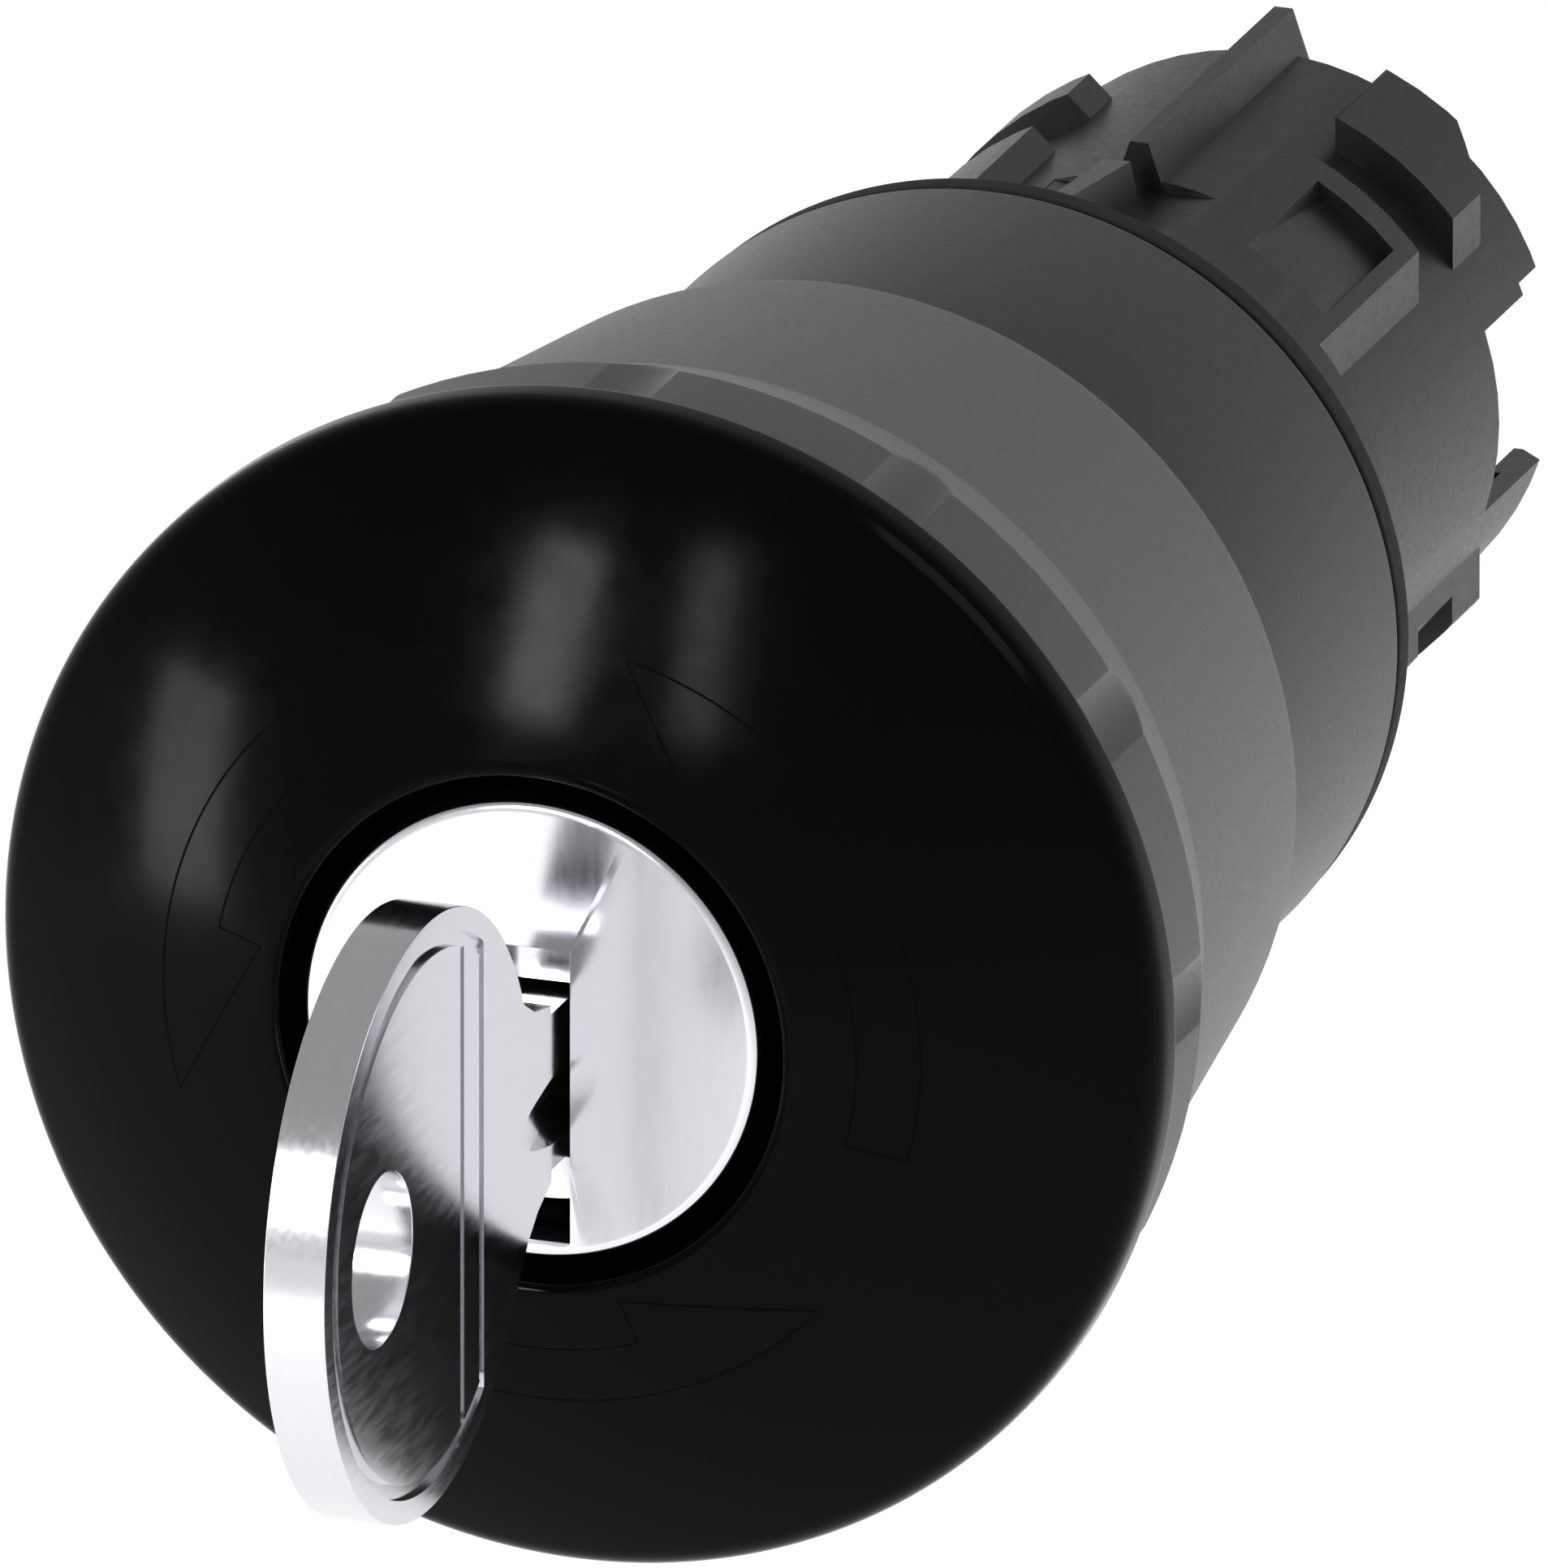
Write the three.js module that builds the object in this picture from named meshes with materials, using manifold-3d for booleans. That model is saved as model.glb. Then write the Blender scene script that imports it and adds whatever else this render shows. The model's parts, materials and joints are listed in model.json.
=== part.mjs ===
// Latching mushroom pushbutton with key release, for a 22.3 mm panel cut-out.
// Millimetres, +Z up. The axis of the button lies along Y: the head faces -Y, the barrel runs to +Y,
// and the origin is the centre of the cut-out on the front face of the panel.
import * as THREE from 'three';
import { mergeVertices } from 'three/addons/utils/BufferGeometryUtils.js';
import Module from 'manifold-3d';

const wasm = await Module();
wasm.setup();

// ---------------------------------------------------------------- driving dimensions
const seatGap = 0.3;          // between pieces that are clamped or seated together
const slideGap = 0.4;         // radial, between pieces that slide or turn in each other
const travel = 4;             // how far the head is pressed to latch
const fineSegments = 60;      // facets of the large outer faces
const roundSegments = 44;     // facets of a large inner piece
const smallSegments = 24;     // facets of a small round piece

// lock, from the middle outwards
const keyThickness = 2.1;
const bladeHeight = 5.4;
const bladeMiddleZ = -1.7;
const rotorRadius = 6.2;
const statorWall = 1.1;
const lockFaceOverlap = 0.25;  // how far the lock's face reaches past its sleeve
const lockFaceThickness = 1.3;
const lockSlotTopZ = 2.85;
const lockSlotBottomZ = -7.2;
const stemWall = 1.3;
const spigotWall = 1.45;
const collarWall = 2.89;

// head
const capRadius = 20;
const capWall = 1.8;
const capRimDepth = 1;        // straight part of the rim
const capDomeRise = 4.15;     // from the rim to the edge of the lock recess
const capRimFillet = 1.43;    // height of the corner between dome and rim
const lockRecessGap = 0.8;    // black ring between the lock face and the cap
const skirtClearance = 0.63;  // radial, between the skirt's rear edge and the collar
const skirtLength = 14.5;
const skirtTaper = 0.128;     // radius gained per millimetre towards the head
const skirtWall = 1.2;
const gripChamferLength = 3.8;
const gripLength = 5.95;
const gripInset = 0.8;        // the grip stands in from the cap's rim
const gripWall = 2.3;
const scallopCount = 12;
const scallopRadius = 1.9;
const scallopDepth = 0.45;

// collar and gasket
const gasketThickness = 0.95;
const gasketInset = 0.07;
const collarLength = 22.75;
const skirtOverlap = 7.4;     // how far the collar reaches into the skirt at rest

// barrel behind the panel
const spigotLength = 7.3;
const barrelStep = 1.05;       // the spigot stands this far over the barrel behind it
const barrelWall = 1.1;
const barrelLength = 27.3;
const barrelEndChamfer = 0.8;
const sideSlotStart = 20.95;
const sideSlotHalfHeight = 3.15;
const blockFrontEnd = 17.2;
const blockRearStart = 20.6;
const blockSideX = 8.49;
const rightBlockRear = 25.7;
const leftBlockRear = 22.8;
const rightBlockInnerX = 4.38;
const leftBlockTopX = -5.05;
const ribMiddleX = 0.24;
const ribRise = 1.3;           // height of the rib over the barrel
const ribFrontY = 12.9;
const finRearY = 10.8;
const finHalfBase = 0.85;
const finRise = 1.45;         // height of the fin's front over the spigot

// ---------------------------------------------------------------- derived sizes
const statorBore = rotorRadius + seatGap;
const statorRadius = statorBore + statorWall;
const lockFaceRadius = statorRadius + lockFaceOverlap;
const stemBore = statorRadius + seatGap;
const stemRadius = stemBore + stemWall;
const housingBore = stemRadius + slideGap;
const spigotRadius = housingBore + spigotWall;
const collarBore = spigotRadius + seatGap;
const collarRadius = collarBore + collarWall;
const skirtRearRadius = collarRadius + skirtClearance + skirtWall;
const barrelRadius = spigotRadius - barrelStep;
const barrelBore = barrelRadius - barrelWall;
const ribTopZ = barrelRadius + ribRise;
const gripRadius = capRadius - gripInset;
const finFrontZ = spigotRadius + finRise;

const gasketFrontY = -gasketThickness;
const collarRearY = gasketFrontY - seatGap;
const collarFrontY = collarRearY - collarLength;
const skirtRearY = collarFrontY + skirtOverlap;
const gripRearY = skirtRearY - skirtLength;
const gripFrontY = gripRearY - gripChamferLength - gripLength;
const capRearY = gripFrontY - seatGap;
const capRimY = capRearY - capRimDepth;
const capFaceY = capRimY - capDomeRise;
const lockFaceY = capFaceY + seatGap;
const recessRadius = lockFaceRadius + lockRecessGap;
const bossRadius = recessRadius + 1.6;

const flangeFrontY = gripFrontY + 1.7;
const flangeRearY = flangeFrontY + 1.8;
const flangeRadius = gripRadius - gripWall - seatGap;
const lipThickness = 1.2;
const lipOverlap = 0.7;

const rotorBodyFrontY = lockFaceY + lockFaceThickness;
const rotorRearY = rotorBodyFrontY + 24.8;
const statorFrontY = rotorBodyFrontY + seatGap;
const statorRearY = rotorRearY - 2.1;
const stemFloorY = rotorRearY + 5.5;
const stemFloorThickness = 1.6;
const stemShellRearY = 2;
const stemTubeRadius = 5.6;
const stemTubeRearY = 14.5;
const shaftRadius = 2.6;
const stemTubeBore = shaftRadius + 0.7;

// latch, in the barrel: the pawls' teeth ride on the stem's inner tube
const stopRing = { y0: 9.4, y1: 10.6, bore: barrelBore - 0.7 };
const carrierFrontY = stopRing.y1 + seatGap;
const pawlFrontY = carrierFrontY + 1 + seatGap;
const pawlTooth = 1.7;
const pawlDrop = 0.9;         // how far a pawl moves in to latch
const latchGroove = {
  y0: pawlFrontY - 0.15 - travel,
  y1: pawlFrontY + pawlTooth + 0.15 - travel,
  radius: stemTubeRadius + 0.05 - pawlDrop,
};
const pusherPlate = 1.2;
const carrierRearY = barrelLength - pusherPlate - 0.4;
const snapBead = { y0: carrierRearY - 2, y1: carrierRearY - 1.2, radius: barrelBore + 0.12 };

// ---------------------------------------------------------------- solids
const signedVolume = (positions, index) => {
  const a = new THREE.Vector3();
  const b = new THREE.Vector3();
  const c = new THREE.Vector3();
  let volume = 0;
  for (let i = 0; i < index.length; i += 3) {
    a.fromArray(positions, index[i] * 3);
    b.fromArray(positions, index[i + 1] * 3);
    c.fromArray(positions, index[i + 2] * 3);
    volume += a.dot(b.cross(c)) / 6;
  }
  return volume;
};

// A closed geometry as a manifold solid, with its shared points merged and its faces pointing out.
function solid(geometry) {
  geometry.deleteAttribute('normal');
  geometry.deleteAttribute('uv');
  const merged = mergeVertices(geometry, 1e-4);
  const positions = merged.attributes.position.array;
  const index = [];
  const raw = merged.index.array;
  for (let i = 0; i < raw.length; i += 3) {
    const [p, q, r] = [raw[i], raw[i + 1], raw[i + 2]];
    if (p !== q && q !== r && r !== p) index.push(p, q, r);
  }
  if (signedVolume(positions, index) < 0) index.reverse();
  const mesh = new wasm.Mesh({
    numProp: 3,
    vertProperties: new Float32Array(positions),
    triVerts: new Uint32Array(index),
  });
  return new wasm.Manifold(mesh);
}

// Turned piece: the profile is a closed loop of [radius, y] points.
function turned(profile, segments = roundSegments) {
  const points = profile.map(([r, y]) => new THREE.Vector2(r, y));
  const touchesAxis = profile[0][0] === 0 && profile[profile.length - 1][0] === 0;
  if (!touchesAxis) points.push(points[0].clone());
  return solid(new THREE.LatheGeometry(points, segments));
}

const tube = (outer, inner, y0, y1, segments) =>
  turned([[outer, y0], [outer, y1], [inner, y1], [inner, y0]], segments);

const rod = (radius, y0, y1, segments = smallSegments) =>
  turned([[0, y0], [radius, y0], [radius, y1], [0, y1]], segments);

const outline = (points) => new THREE.Shape(points.map(([a, b]) => new THREE.Vector2(a, b)));

function extruded(shape, depth, curveSegments = smallSegments) {
  return new THREE.ExtrudeGeometry(shape, { depth, bevelEnabled: false, curveSegments });
}

// Prisms along Y from an [x, z] outline, along X from a [y, z] outline, along Z from an [x, y] outline.
function prismY(shape, y0, y1, curveSegments) {
  const geometry = extruded(shape, y1 - y0, curveSegments);
  return solid(geometry.rotateX(Math.PI / 2).translate(0, y1, 0));
}

function prismX(shape, x0, x1, curveSegments) {
  const geometry = extruded(shape, x1 - x0, curveSegments);
  const turn = new THREE.Matrix4().makeBasis(
    new THREE.Vector3(0, 1, 0), new THREE.Vector3(0, 0, 1), new THREE.Vector3(1, 0, 0));
  return solid(geometry.applyMatrix4(turn).translate(x0, 0, 0));
}

const prismZ = (shape, z0, z1) => solid(extruded(shape, z1 - z0).translate(0, 0, z0));

function block([x0, x1], [y0, y1], [z0, z1]) {
  const geometry = new THREE.BoxGeometry(x1 - x0, y1 - y0, z1 - z0);
  return solid(geometry.translate((x0 + x1) / 2, (y0 + y1) / 2, (z0 + z1) / 2));
}

// Point at radius r and angle a (degrees, from +X towards +Z).
function polar(r, a) {
  const angle = THREE.MathUtils.degToRad(a);
  return [r * Math.cos(angle), r * Math.sin(angle)];
}

class Helix extends THREE.Curve {
  constructor(radius, turns, from, to) {
    super();
    Object.assign(this, { radius, turns, from, to });
  }

  getPoint(t, target = new THREE.Vector3()) {
    const angle = t * this.turns * Math.PI * 2;
    const along = THREE.MathUtils.lerp(this.from, this.to, t);
    return target.set(this.radius * Math.cos(angle), along, this.radius * Math.sin(angle));
  }
}

// Coil of wire round the Y axis, between the outer faces y0 and y1.
function coil(radius, wire, turns, y0, y1, stepsPerTurn = 12, sides = 6) {
  const corners = Array.from({ length: sides }, (_, i) => polar(wire, (360 / sides) * i));
  const path = new Helix(radius, turns, y0 + wire, y1 - wire);
  const steps = Math.round(turns * stepsPerTurn);
  return solid(new THREE.ExtrudeGeometry(outline(corners), { extrudePath: path, steps }));
}

function toGeometry(manifold) {
  const mesh = manifold.getMesh();
  const geometry = new THREE.BufferGeometry();
  geometry.setAttribute('position', new THREE.BufferAttribute(new Float32Array(mesh.vertProperties), 3));
  geometry.setIndex(new THREE.BufferAttribute(new Uint32Array(mesh.triVerts), 1));
  geometry.computeVertexNormals();
  return geometry;
}

// ---------------------------------------------------------------- materials
function finish(color, roughness, metalness) {
  return new THREE.MeshStandardMaterial({ color, roughness, metalness });
}

const glossBlack = finish(0x060607, 0.12, 0);
const gripGrey = finish(0x5f6062, 0.45, 0);
const collarGrey = finish(0x35353a, 0.5, 0);
const barrelGrey = finish(0x303234, 0.5, 0);
const sealBlack = finish(0x232426, 0.8, 0);
const chrome = finish(0xd8d8dc, 0.12, 1);
const brass = finish(0xb59a57, 0.35, 1);
const springSteel = finish(0x9a9ca0, 0.3, 1);
const innerNylon = finish(0xd9d5c8, 0.55, 0);

const group = new THREE.Group();

function add(name, manifold, material) {
  const mesh = new THREE.Mesh(toGeometry(manifold), material);
  mesh.name = name;
  group.add(mesh);
  return mesh;
}

// ---------------------------------------------------------------- head
const screwCount = 3;
const screwCircle = flangeRadius - 2.6;
const screwShank = 0.8;
const screwHead = 1.5;
const screwHeadHeight = 1.3;
const screwBossRadius = 2.2;
const screwTipY = flangeFrontY - 3.9;
const screwAngle = (i) => 90 + (360 / screwCount) * i;

// Two legs carry the push past the latch to the contact blocks. They hook into windows in the stem.
const pusherLeg = { inner: stemTubeRadius + 0.35, outer: stemBore - 0.6, halfWidth: 2 };
const pusherHook = { y0: stemShellRearY - 6, y1: stemShellRearY - 4.4, reach: 1.3 };
const pusherRearY = barrelLength;

// The dome is a sphere through the edge of the recess and the top of the rim's rounded corner.
const domeEdge = { r: capRadius - 0.75, y: capRimY - capRimFillet };
const domeCentreY = (domeEdge.r ** 2 + domeEdge.y ** 2 - recessRadius ** 2 - capFaceY ** 2)
  / (2 * (domeEdge.y - capFaceY));
const domeRadius = Math.hypot(recessRadius, capFaceY - domeCentreY);
const domeY = (r, offset = 0) => domeCentreY - Math.sqrt((domeRadius - offset) ** 2 - r ** 2);

function domeArc(r0, r1, steps, offset = 0) {
  return Array.from({ length: steps + 1 }, (_, i) => {
    const r = THREE.MathUtils.lerp(r0, r1, i / steps);
    return [r, domeY(r, offset)];
  });
}

function mushroomCap() {
  const slope = domeEdge.r / Math.sqrt(domeRadius ** 2 - domeEdge.r ** 2);
  const corner = new THREE.QuadraticBezierCurve(
    new THREE.Vector2(domeEdge.r, domeEdge.y),
    new THREE.Vector2(capRadius, domeEdge.y + slope * (capRadius - domeEdge.r)),
    new THREE.Vector2(capRadius, capRimY),
  );
  const edge = 0.15;
  const rimInner = capRadius - capWall;
  const bossRearY = flangeFrontY - 2.1;
  let cap = turned([
    ...domeArc(recessRadius + edge, domeEdge.r, 6),
    ...corner.getPoints(4).slice(1).map((p) => [p.x, p.y]),
    [capRadius, capRearY - 0.35], [capRadius - 0.35, capRearY], [rimInner, capRearY],
    ...domeArc(rimInner, bossRadius, 4, capWall),
    [bossRadius, bossRearY], [recessRadius, bossRearY], [recessRadius, capFaceY + edge],
  ], fineSegments);
  for (let i = 0; i < screwCount; i += 1) {
    const [x, z] = polar(screwCircle, screwAngle(i));
    const seat = rod(screwBossRadius, domeY(screwCircle, capWall) - 0.6, flangeFrontY - seatGap);
    cap = cap.add(seat.translate([x, 0, z]));
    const hole = rod(screwShank + seatGap, screwTipY - 0.4, flangeFrontY, 12);
    cap = cap.subtract(hole.translate([x, 0, z]));
  }
  return cap;
}

const skirtRadiusAt = (y) => skirtRearRadius + skirtTaper * (skirtRearY - y);

function gripSkirt() {
  const gripInner = gripRadius - gripWall;
  const chamferY = gripRearY - gripChamferLength;
  const skirtInner = (y) => skirtRadiusAt(y) - skirtWall;
  const lipRearY = flangeRearY + seatGap + lipThickness;
  const profile = [
    [gripRadius - 0.2, gripFrontY], [gripRadius, gripFrontY + 0.2], [gripRadius, chamferY],
    [skirtRadiusAt(gripRearY), gripRearY], [skirtRearRadius, skirtRearY],
    [skirtInner(skirtRearY), skirtRearY], [skirtInner(lipRearY + 1), lipRearY + 1],
    [flangeRadius - lipOverlap, lipRearY], [flangeRadius - lipOverlap, flangeRearY + seatGap],
    [gripInner, flangeRearY + seatGap], [gripInner, gripFrontY],
  ];
  let skirt = turned(profile, fineSegments);
  for (let i = 0; i < scallopCount; i += 1) {
    const [x, z] = polar(gripRadius - scallopDepth + scallopRadius, (360 / scallopCount) * i);
    const cutter = rod(scallopRadius, gripFrontY - 1, gripRearY, 20);
    skirt = skirt.subtract(cutter.translate([x, 0, z]));
  }
  return skirt;
}

// Hollow stem: a shell that slides in the housing, a flange that carries the head, and an inner tube
// with the groove that the latch pawls drop into once the head is pressed.
function stem() {
  let body = turned([
    [flangeRadius, flangeFrontY], [flangeRadius, flangeRearY], [stemRadius, flangeRearY],
    [stemRadius, stemShellRearY], [stemBore, stemShellRearY],
    [stemBore, stemFloorY + stemFloorThickness], [stemTubeRadius, stemFloorY + stemFloorThickness],
    [stemTubeRadius, latchGroove.y0], [latchGroove.radius, latchGroove.y0],
    [latchGroove.radius, latchGroove.y1], [stemTubeRadius, latchGroove.y1],
    [stemTubeRadius, stemTubeRearY], [stemTubeBore, stemTubeRearY], [stemTubeBore, stemFloorY],
    [stemBore, stemFloorY], [stemBore, flangeFrontY],
  ]);
  for (let i = 0; i < screwCount; i += 1) {
    const [x, z] = polar(screwCircle, screwAngle(i));
    const hole = rod(screwShank + seatGap, flangeFrontY - 1, flangeRearY + 1, 12);
    body = body.subtract(hole.translate([x, 0, z]));
  }
  const windowHalf = pusherLeg.halfWidth + 0.35;
  const windowY = [pusherHook.y0 - 0.35, pusherHook.y1 + 0.35];
  const wall = [-stemRadius - 1, stemRadius + 1];
  const window = block(wall, windowY, [-windowHalf, windowHalf])
    .subtract(block([-pusherLeg.outer, pusherLeg.outer], windowY, [-windowHalf - 1, windowHalf + 1]));
  return body.subtract(window);
}

// Pan head with a cross recess, driven from behind the flange into the cap.
function headScrew(i) {
  const [x, z] = polar(screwCircle, screwAngle(i));
  const headY = flangeRearY + seatGap;
  const top = headY + screwHeadHeight;
  const shank = turned([
    [0, screwTipY], [screwShank * 0.6, screwTipY], [screwShank, screwTipY + 0.5], [screwShank, headY],
    [screwHead, headY], [screwHead, top - 0.3], [screwHead - 0.4, top], [0, top],
  ], 20);
  const half = 0.17;
  const arm = 0.8;
  const recess = block([-arm, arm], [top - 0.6, top + 1], [-half, half])
    .add(block([-half, half], [top - 0.6, top + 1], [-arm, arm]));
  return shank.subtract(recess).translate([x, 0, z]);
}

add('mushroom_cap', mushroomCap(), glossBlack);
add('grip_skirt', gripSkirt(), gripGrey);
add('stem', stem(), innerNylon);
for (let i = 0; i < screwCount; i += 1) add(`head_screw_${i + 1}`, headScrew(i), springSteel);

// Fixed sleeve of the lock, clamped by its flange between the cap and the stem.
function lockStator() {
  const flangeY = flangeFrontY - seatGap;
  return turned([
    [statorRadius - 0.3, statorFrontY], [statorRadius, statorFrontY + 0.3],
    [statorRadius, flangeY - 1.5], [bossRadius - 0.3, flangeY - 1.5], [bossRadius - 0.3, flangeY],
    [statorRadius, flangeY], [statorRadius, statorRearY], [statorBore, statorRearY],
    [statorBore, statorFrontY],
  ]);
}

add('lock_stator', lockStator(), chrome);

function rearPusher() {
  const { inner, outer, halfWidth } = pusherLeg;
  const plateY = [pusherRearY - pusherPlate, pusherRearY];
  const width = [-halfWidth, halfWidth];
  let pusher = block([-outer, outer], plateY, width);
  pusher = pusher.add(block(width, plateY, [-outer + 1, outer - 1]));
  pusher = pusher.add(rod(3.2, plateY[0], plateY[1]));
  for (const side of [-1, 1]) {
    const leg = side > 0 ? [inner, outer] : [-outer, -inner];
    const hook = side > 0 ? [inner, outer + pusherHook.reach] : [-outer - pusherHook.reach, -inner];
    pusher = pusher.add(block(leg, [pusherHook.y0, plateY[1] - 0.5], width));
    pusher = pusher.add(block(hook, [pusherHook.y0, pusherHook.y1], width));
  }
  return pusher.subtract(rod(1.4, plateY[0] - 1, plateY[1] + 1));
}

add('rear_pusher', rearPusher(), innerNylon);

const keySpring = { radius: 4.4, wire: 0.35, turns: 4, y0: rotorRearY + 0.6, y1: stemFloorY - seatGap };
add('key_return_spring', coil(...Object.values(keySpring)), springSteel);

// ---------------------------------------------------------------- rotor and what turns with it
const keywayHalfWidth = keyThickness / 2 + seatGap;
const bladeTopZ = bladeMiddleZ + bladeHeight / 2;
const bladeBottomZ = bladeMiddleZ - bladeHeight / 2;
const keywayRearY = rotorRearY - 3.2;
const bladeTipY = keywayRearY - seatGap;
const clipGroove = { y0: rotorRearY - 1.8, y1: rotorRearY - 0.7, radius: rotorRadius - 0.8 };

const waferCount = 5;
const waferPitch = 3.8;
const waferThickness = 0.9;
const waferSlot = 1.8;
const waferHalfWidth = 2.6;
const waferTopZ = bladeTopZ + seatGap + 0.9;
const waferBottomZ = -5.5;
const waferY = (i) => rotorBodyFrontY + 2.9 + waferPitch * i;
const springPocketTopZ = 5.7;

function lockRotor() {
  let rotor = turned([
    [0, lockFaceY], [lockFaceRadius - 0.45, lockFaceY], [lockFaceRadius, lockFaceY + 0.3],
    [lockFaceRadius, rotorBodyFrontY], [rotorRadius, rotorBodyFrontY],
    [rotorRadius, clipGroove.y0], [clipGroove.radius, clipGroove.y0],
    [clipGroove.radius, clipGroove.y1], [rotorRadius, clipGroove.y1], [rotorRadius, rotorRearY],
    [0, rotorRearY],
  ]);
  const faceSlot = block([-keywayHalfWidth, keywayHalfWidth], [lockFaceY - 1, rotorBodyFrontY],
    [lockSlotBottomZ, lockSlotTopZ]);
  const keyway = block([-keywayHalfWidth, keywayHalfWidth], [lockFaceY - 1, keywayRearY],
    [bladeBottomZ - seatGap, bladeTopZ + seatGap]);
  rotor = rotor.subtract(faceSlot).subtract(keyway);
  const side = waferHalfWidth + seatGap;
  for (let i = 0; i < waferCount; i += 1) {
    const span = [waferY(i) - waferSlot / 2, waferY(i) + waferSlot / 2];
    rotor = rotor.subtract(block([-side, side], span, [-rotorRadius - 1, waferTopZ + seatGap]));
    rotor = rotor.subtract(block([-waferSlot / 2, waferSlot / 2], span, [waferTopZ, springPocketTopZ]));
  }
  const drive = block([-1.3, 1.3], [rotorRearY - 1.6, rotorRearY + 1], [-3.3, 3.3]);
  return rotor.subtract(drive);
}

// Each wafer is a plate with a window that the blade passes through.
function wafer(i) {
  const span = [waferY(i) - waferThickness / 2, waferY(i) + waferThickness / 2];
  const plate = block([-waferHalfWidth, waferHalfWidth], span, [waferBottomZ, waferTopZ]);
  const window = block([-keywayHalfWidth, keywayHalfWidth], [span[0] - 1, span[1] + 1],
    [bladeBottomZ - seatGap, bladeTopZ + seatGap]);
  return plate.subtract(window);
}

function waferSpring(i) {
  const z0 = waferTopZ + seatGap;
  const spring = coil(0.5, 0.14, 3, 0, springPocketTopZ - 0.2 - z0, 7, 4);
  return spring.rotate([90, 0, 0]).translate([0, waferY(i), z0]);
}

function rotorClip() {
  const middle = (clipGroove.y0 + clipGroove.y1) / 2;
  const clip = tube(statorRadius - 0.3, clipGroove.radius + seatGap, middle - 0.25, middle + 0.25, 40);
  return clip.subtract(block([-1.2, 1.2], [middle - 1, middle + 1], [2, statorRadius + 1]));
}

const journalHalf = 1.1;
const shaftShoulderY = stemTubeRearY + 1.1;
const camThickness = 2.9;
const camY = [shaftShoulderY + 0.5, shaftShoulderY + 0.5 + camThickness];
const camHalfWide = 5.2;
const camHalfTall = 2.6;
const shaftGroove = { y0: camY[1] + seatGap, y1: camY[1] + seatGap + 1.1, radius: 0.8 };
const shaftEndY = shaftGroove.y1 + 0.6;

// Square-ended shaft: a tang in the rotor turns it, and its rear square turns the cam.
function releaseShaft() {
  const flangeEnd = rotorRearY + 1.3;
  let shaft = block([-1, 1], [rotorRearY - 1.3, rotorRearY + 0.4], [-3, 3]);
  shaft = shaft.add(rod(3.6, rotorRearY + seatGap, flangeEnd));
  shaft = shaft.add(rod(shaftRadius, flangeEnd - 0.2, shaftShoulderY));
  const square = [-journalHalf, journalHalf];
  shaft = shaft.add(block(square, [shaftShoulderY - 0.5, shaftGroove.y0], square));
  shaft = shaft.add(rod(shaftGroove.radius, shaftGroove.y0 - 0.3, shaftEndY - 0.1, 12));
  return shaft.add(block(square, [shaftGroove.y1, shaftEndY], square));
}

function releaseCam() {
  const shape = new THREE.Shape();
  shape.absellipse(0, 0, camHalfWide, camHalfTall, 0, Math.PI * 2);
  const hole = journalHalf + seatGap;
  const bore = block([-hole, hole], [camY[0] - 1, camY[1] + 1], [-hole, hole]);
  return prismY(shape, camY[0], camY[1], 14).subtract(bore);
}

function camClip() {
  const middle = (shaftGroove.y0 + shaftGroove.y1) / 2;
  const clip = tube(2.4, shaftGroove.radius + seatGap, middle - 0.25, middle + 0.25, smallSegments);
  return clip.subtract(block([-0.6, 0.6], [middle - 1, middle + 1], [0.5, 3]));
}

add('lock_rotor', lockRotor(), chrome);
for (let i = 0; i < waferCount; i += 1) {
  add(`wafer_${i + 1}`, wafer(i), brass);
  add(`wafer_spring_${i + 1}`, waferSpring(i), springSteel);
}
add('rotor_clip', rotorClip(), springSteel);
add('release_shaft', releaseShaft(), brass);
add('release_cam', releaseCam(), innerNylon);
add('cam_clip', camClip(), springSteel);

// ---------------------------------------------------------------- key
const bowRadius = 10.1;
const bowZ = -2;
const bowFrontGap = 12.7;     // from the lock face to the middle of the bow
const bowY = lockFaceY - bowFrontGap;
const keyHole = { radius: 2.9, offset: 4.5 };
const border = { outer: 9.3, inner: 8.8, depth: 0.2, chordOffset: 4.8, chordWidth: 0.45 };
const neckY = lockFaceY - 0.9;
const neckTopZ = bladeTopZ + 0.3;
const neckBottomZ = bladeBottomZ - 0.4;
const sideGroove = { radius: 1.55, standOff: 1.05, runOut: 3.4 };
const biteDepths = [0.9, 0.4, 1.2, 0.6, 1];

function keyOutline() {
  const half = keyThickness / 2;
  const bow = new THREE.Shape();
  bow.absarc(bowY, bowZ, bowRadius, 0, Math.PI * 2);
  const onBow = (angle) => {
    const [y, z] = polar(bowRadius, angle);
    return [bowY + y, bowZ + z];
  };
  const neck = outline([
    [bowY + 4, bowZ], onBow(24.5), [neckY - 1.6, neckTopZ + 0.3], [neckY, neckTopZ],
    [neckY, neckBottomZ], [neckY - 1.3, neckBottomZ - 0.6], [neckY - 2.2, neckBottomZ - 1.3],
    onBow(-30.3),
  ]);
  const blade = outline([
    [neckY - 1, bladeTopZ], [bladeTipY - 0.8, bladeTopZ], [bladeTipY, bladeTopZ - 0.8],
    [bladeTipY, bladeBottomZ + 1], [bladeTipY - 1, bladeBottomZ], [neckY - 1, bladeBottomZ],
  ]);
  return prismX(bow, -half, half, 28).add(prismX(neck, -half, half)).add(prismX(blade, -half, half));
}

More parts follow.
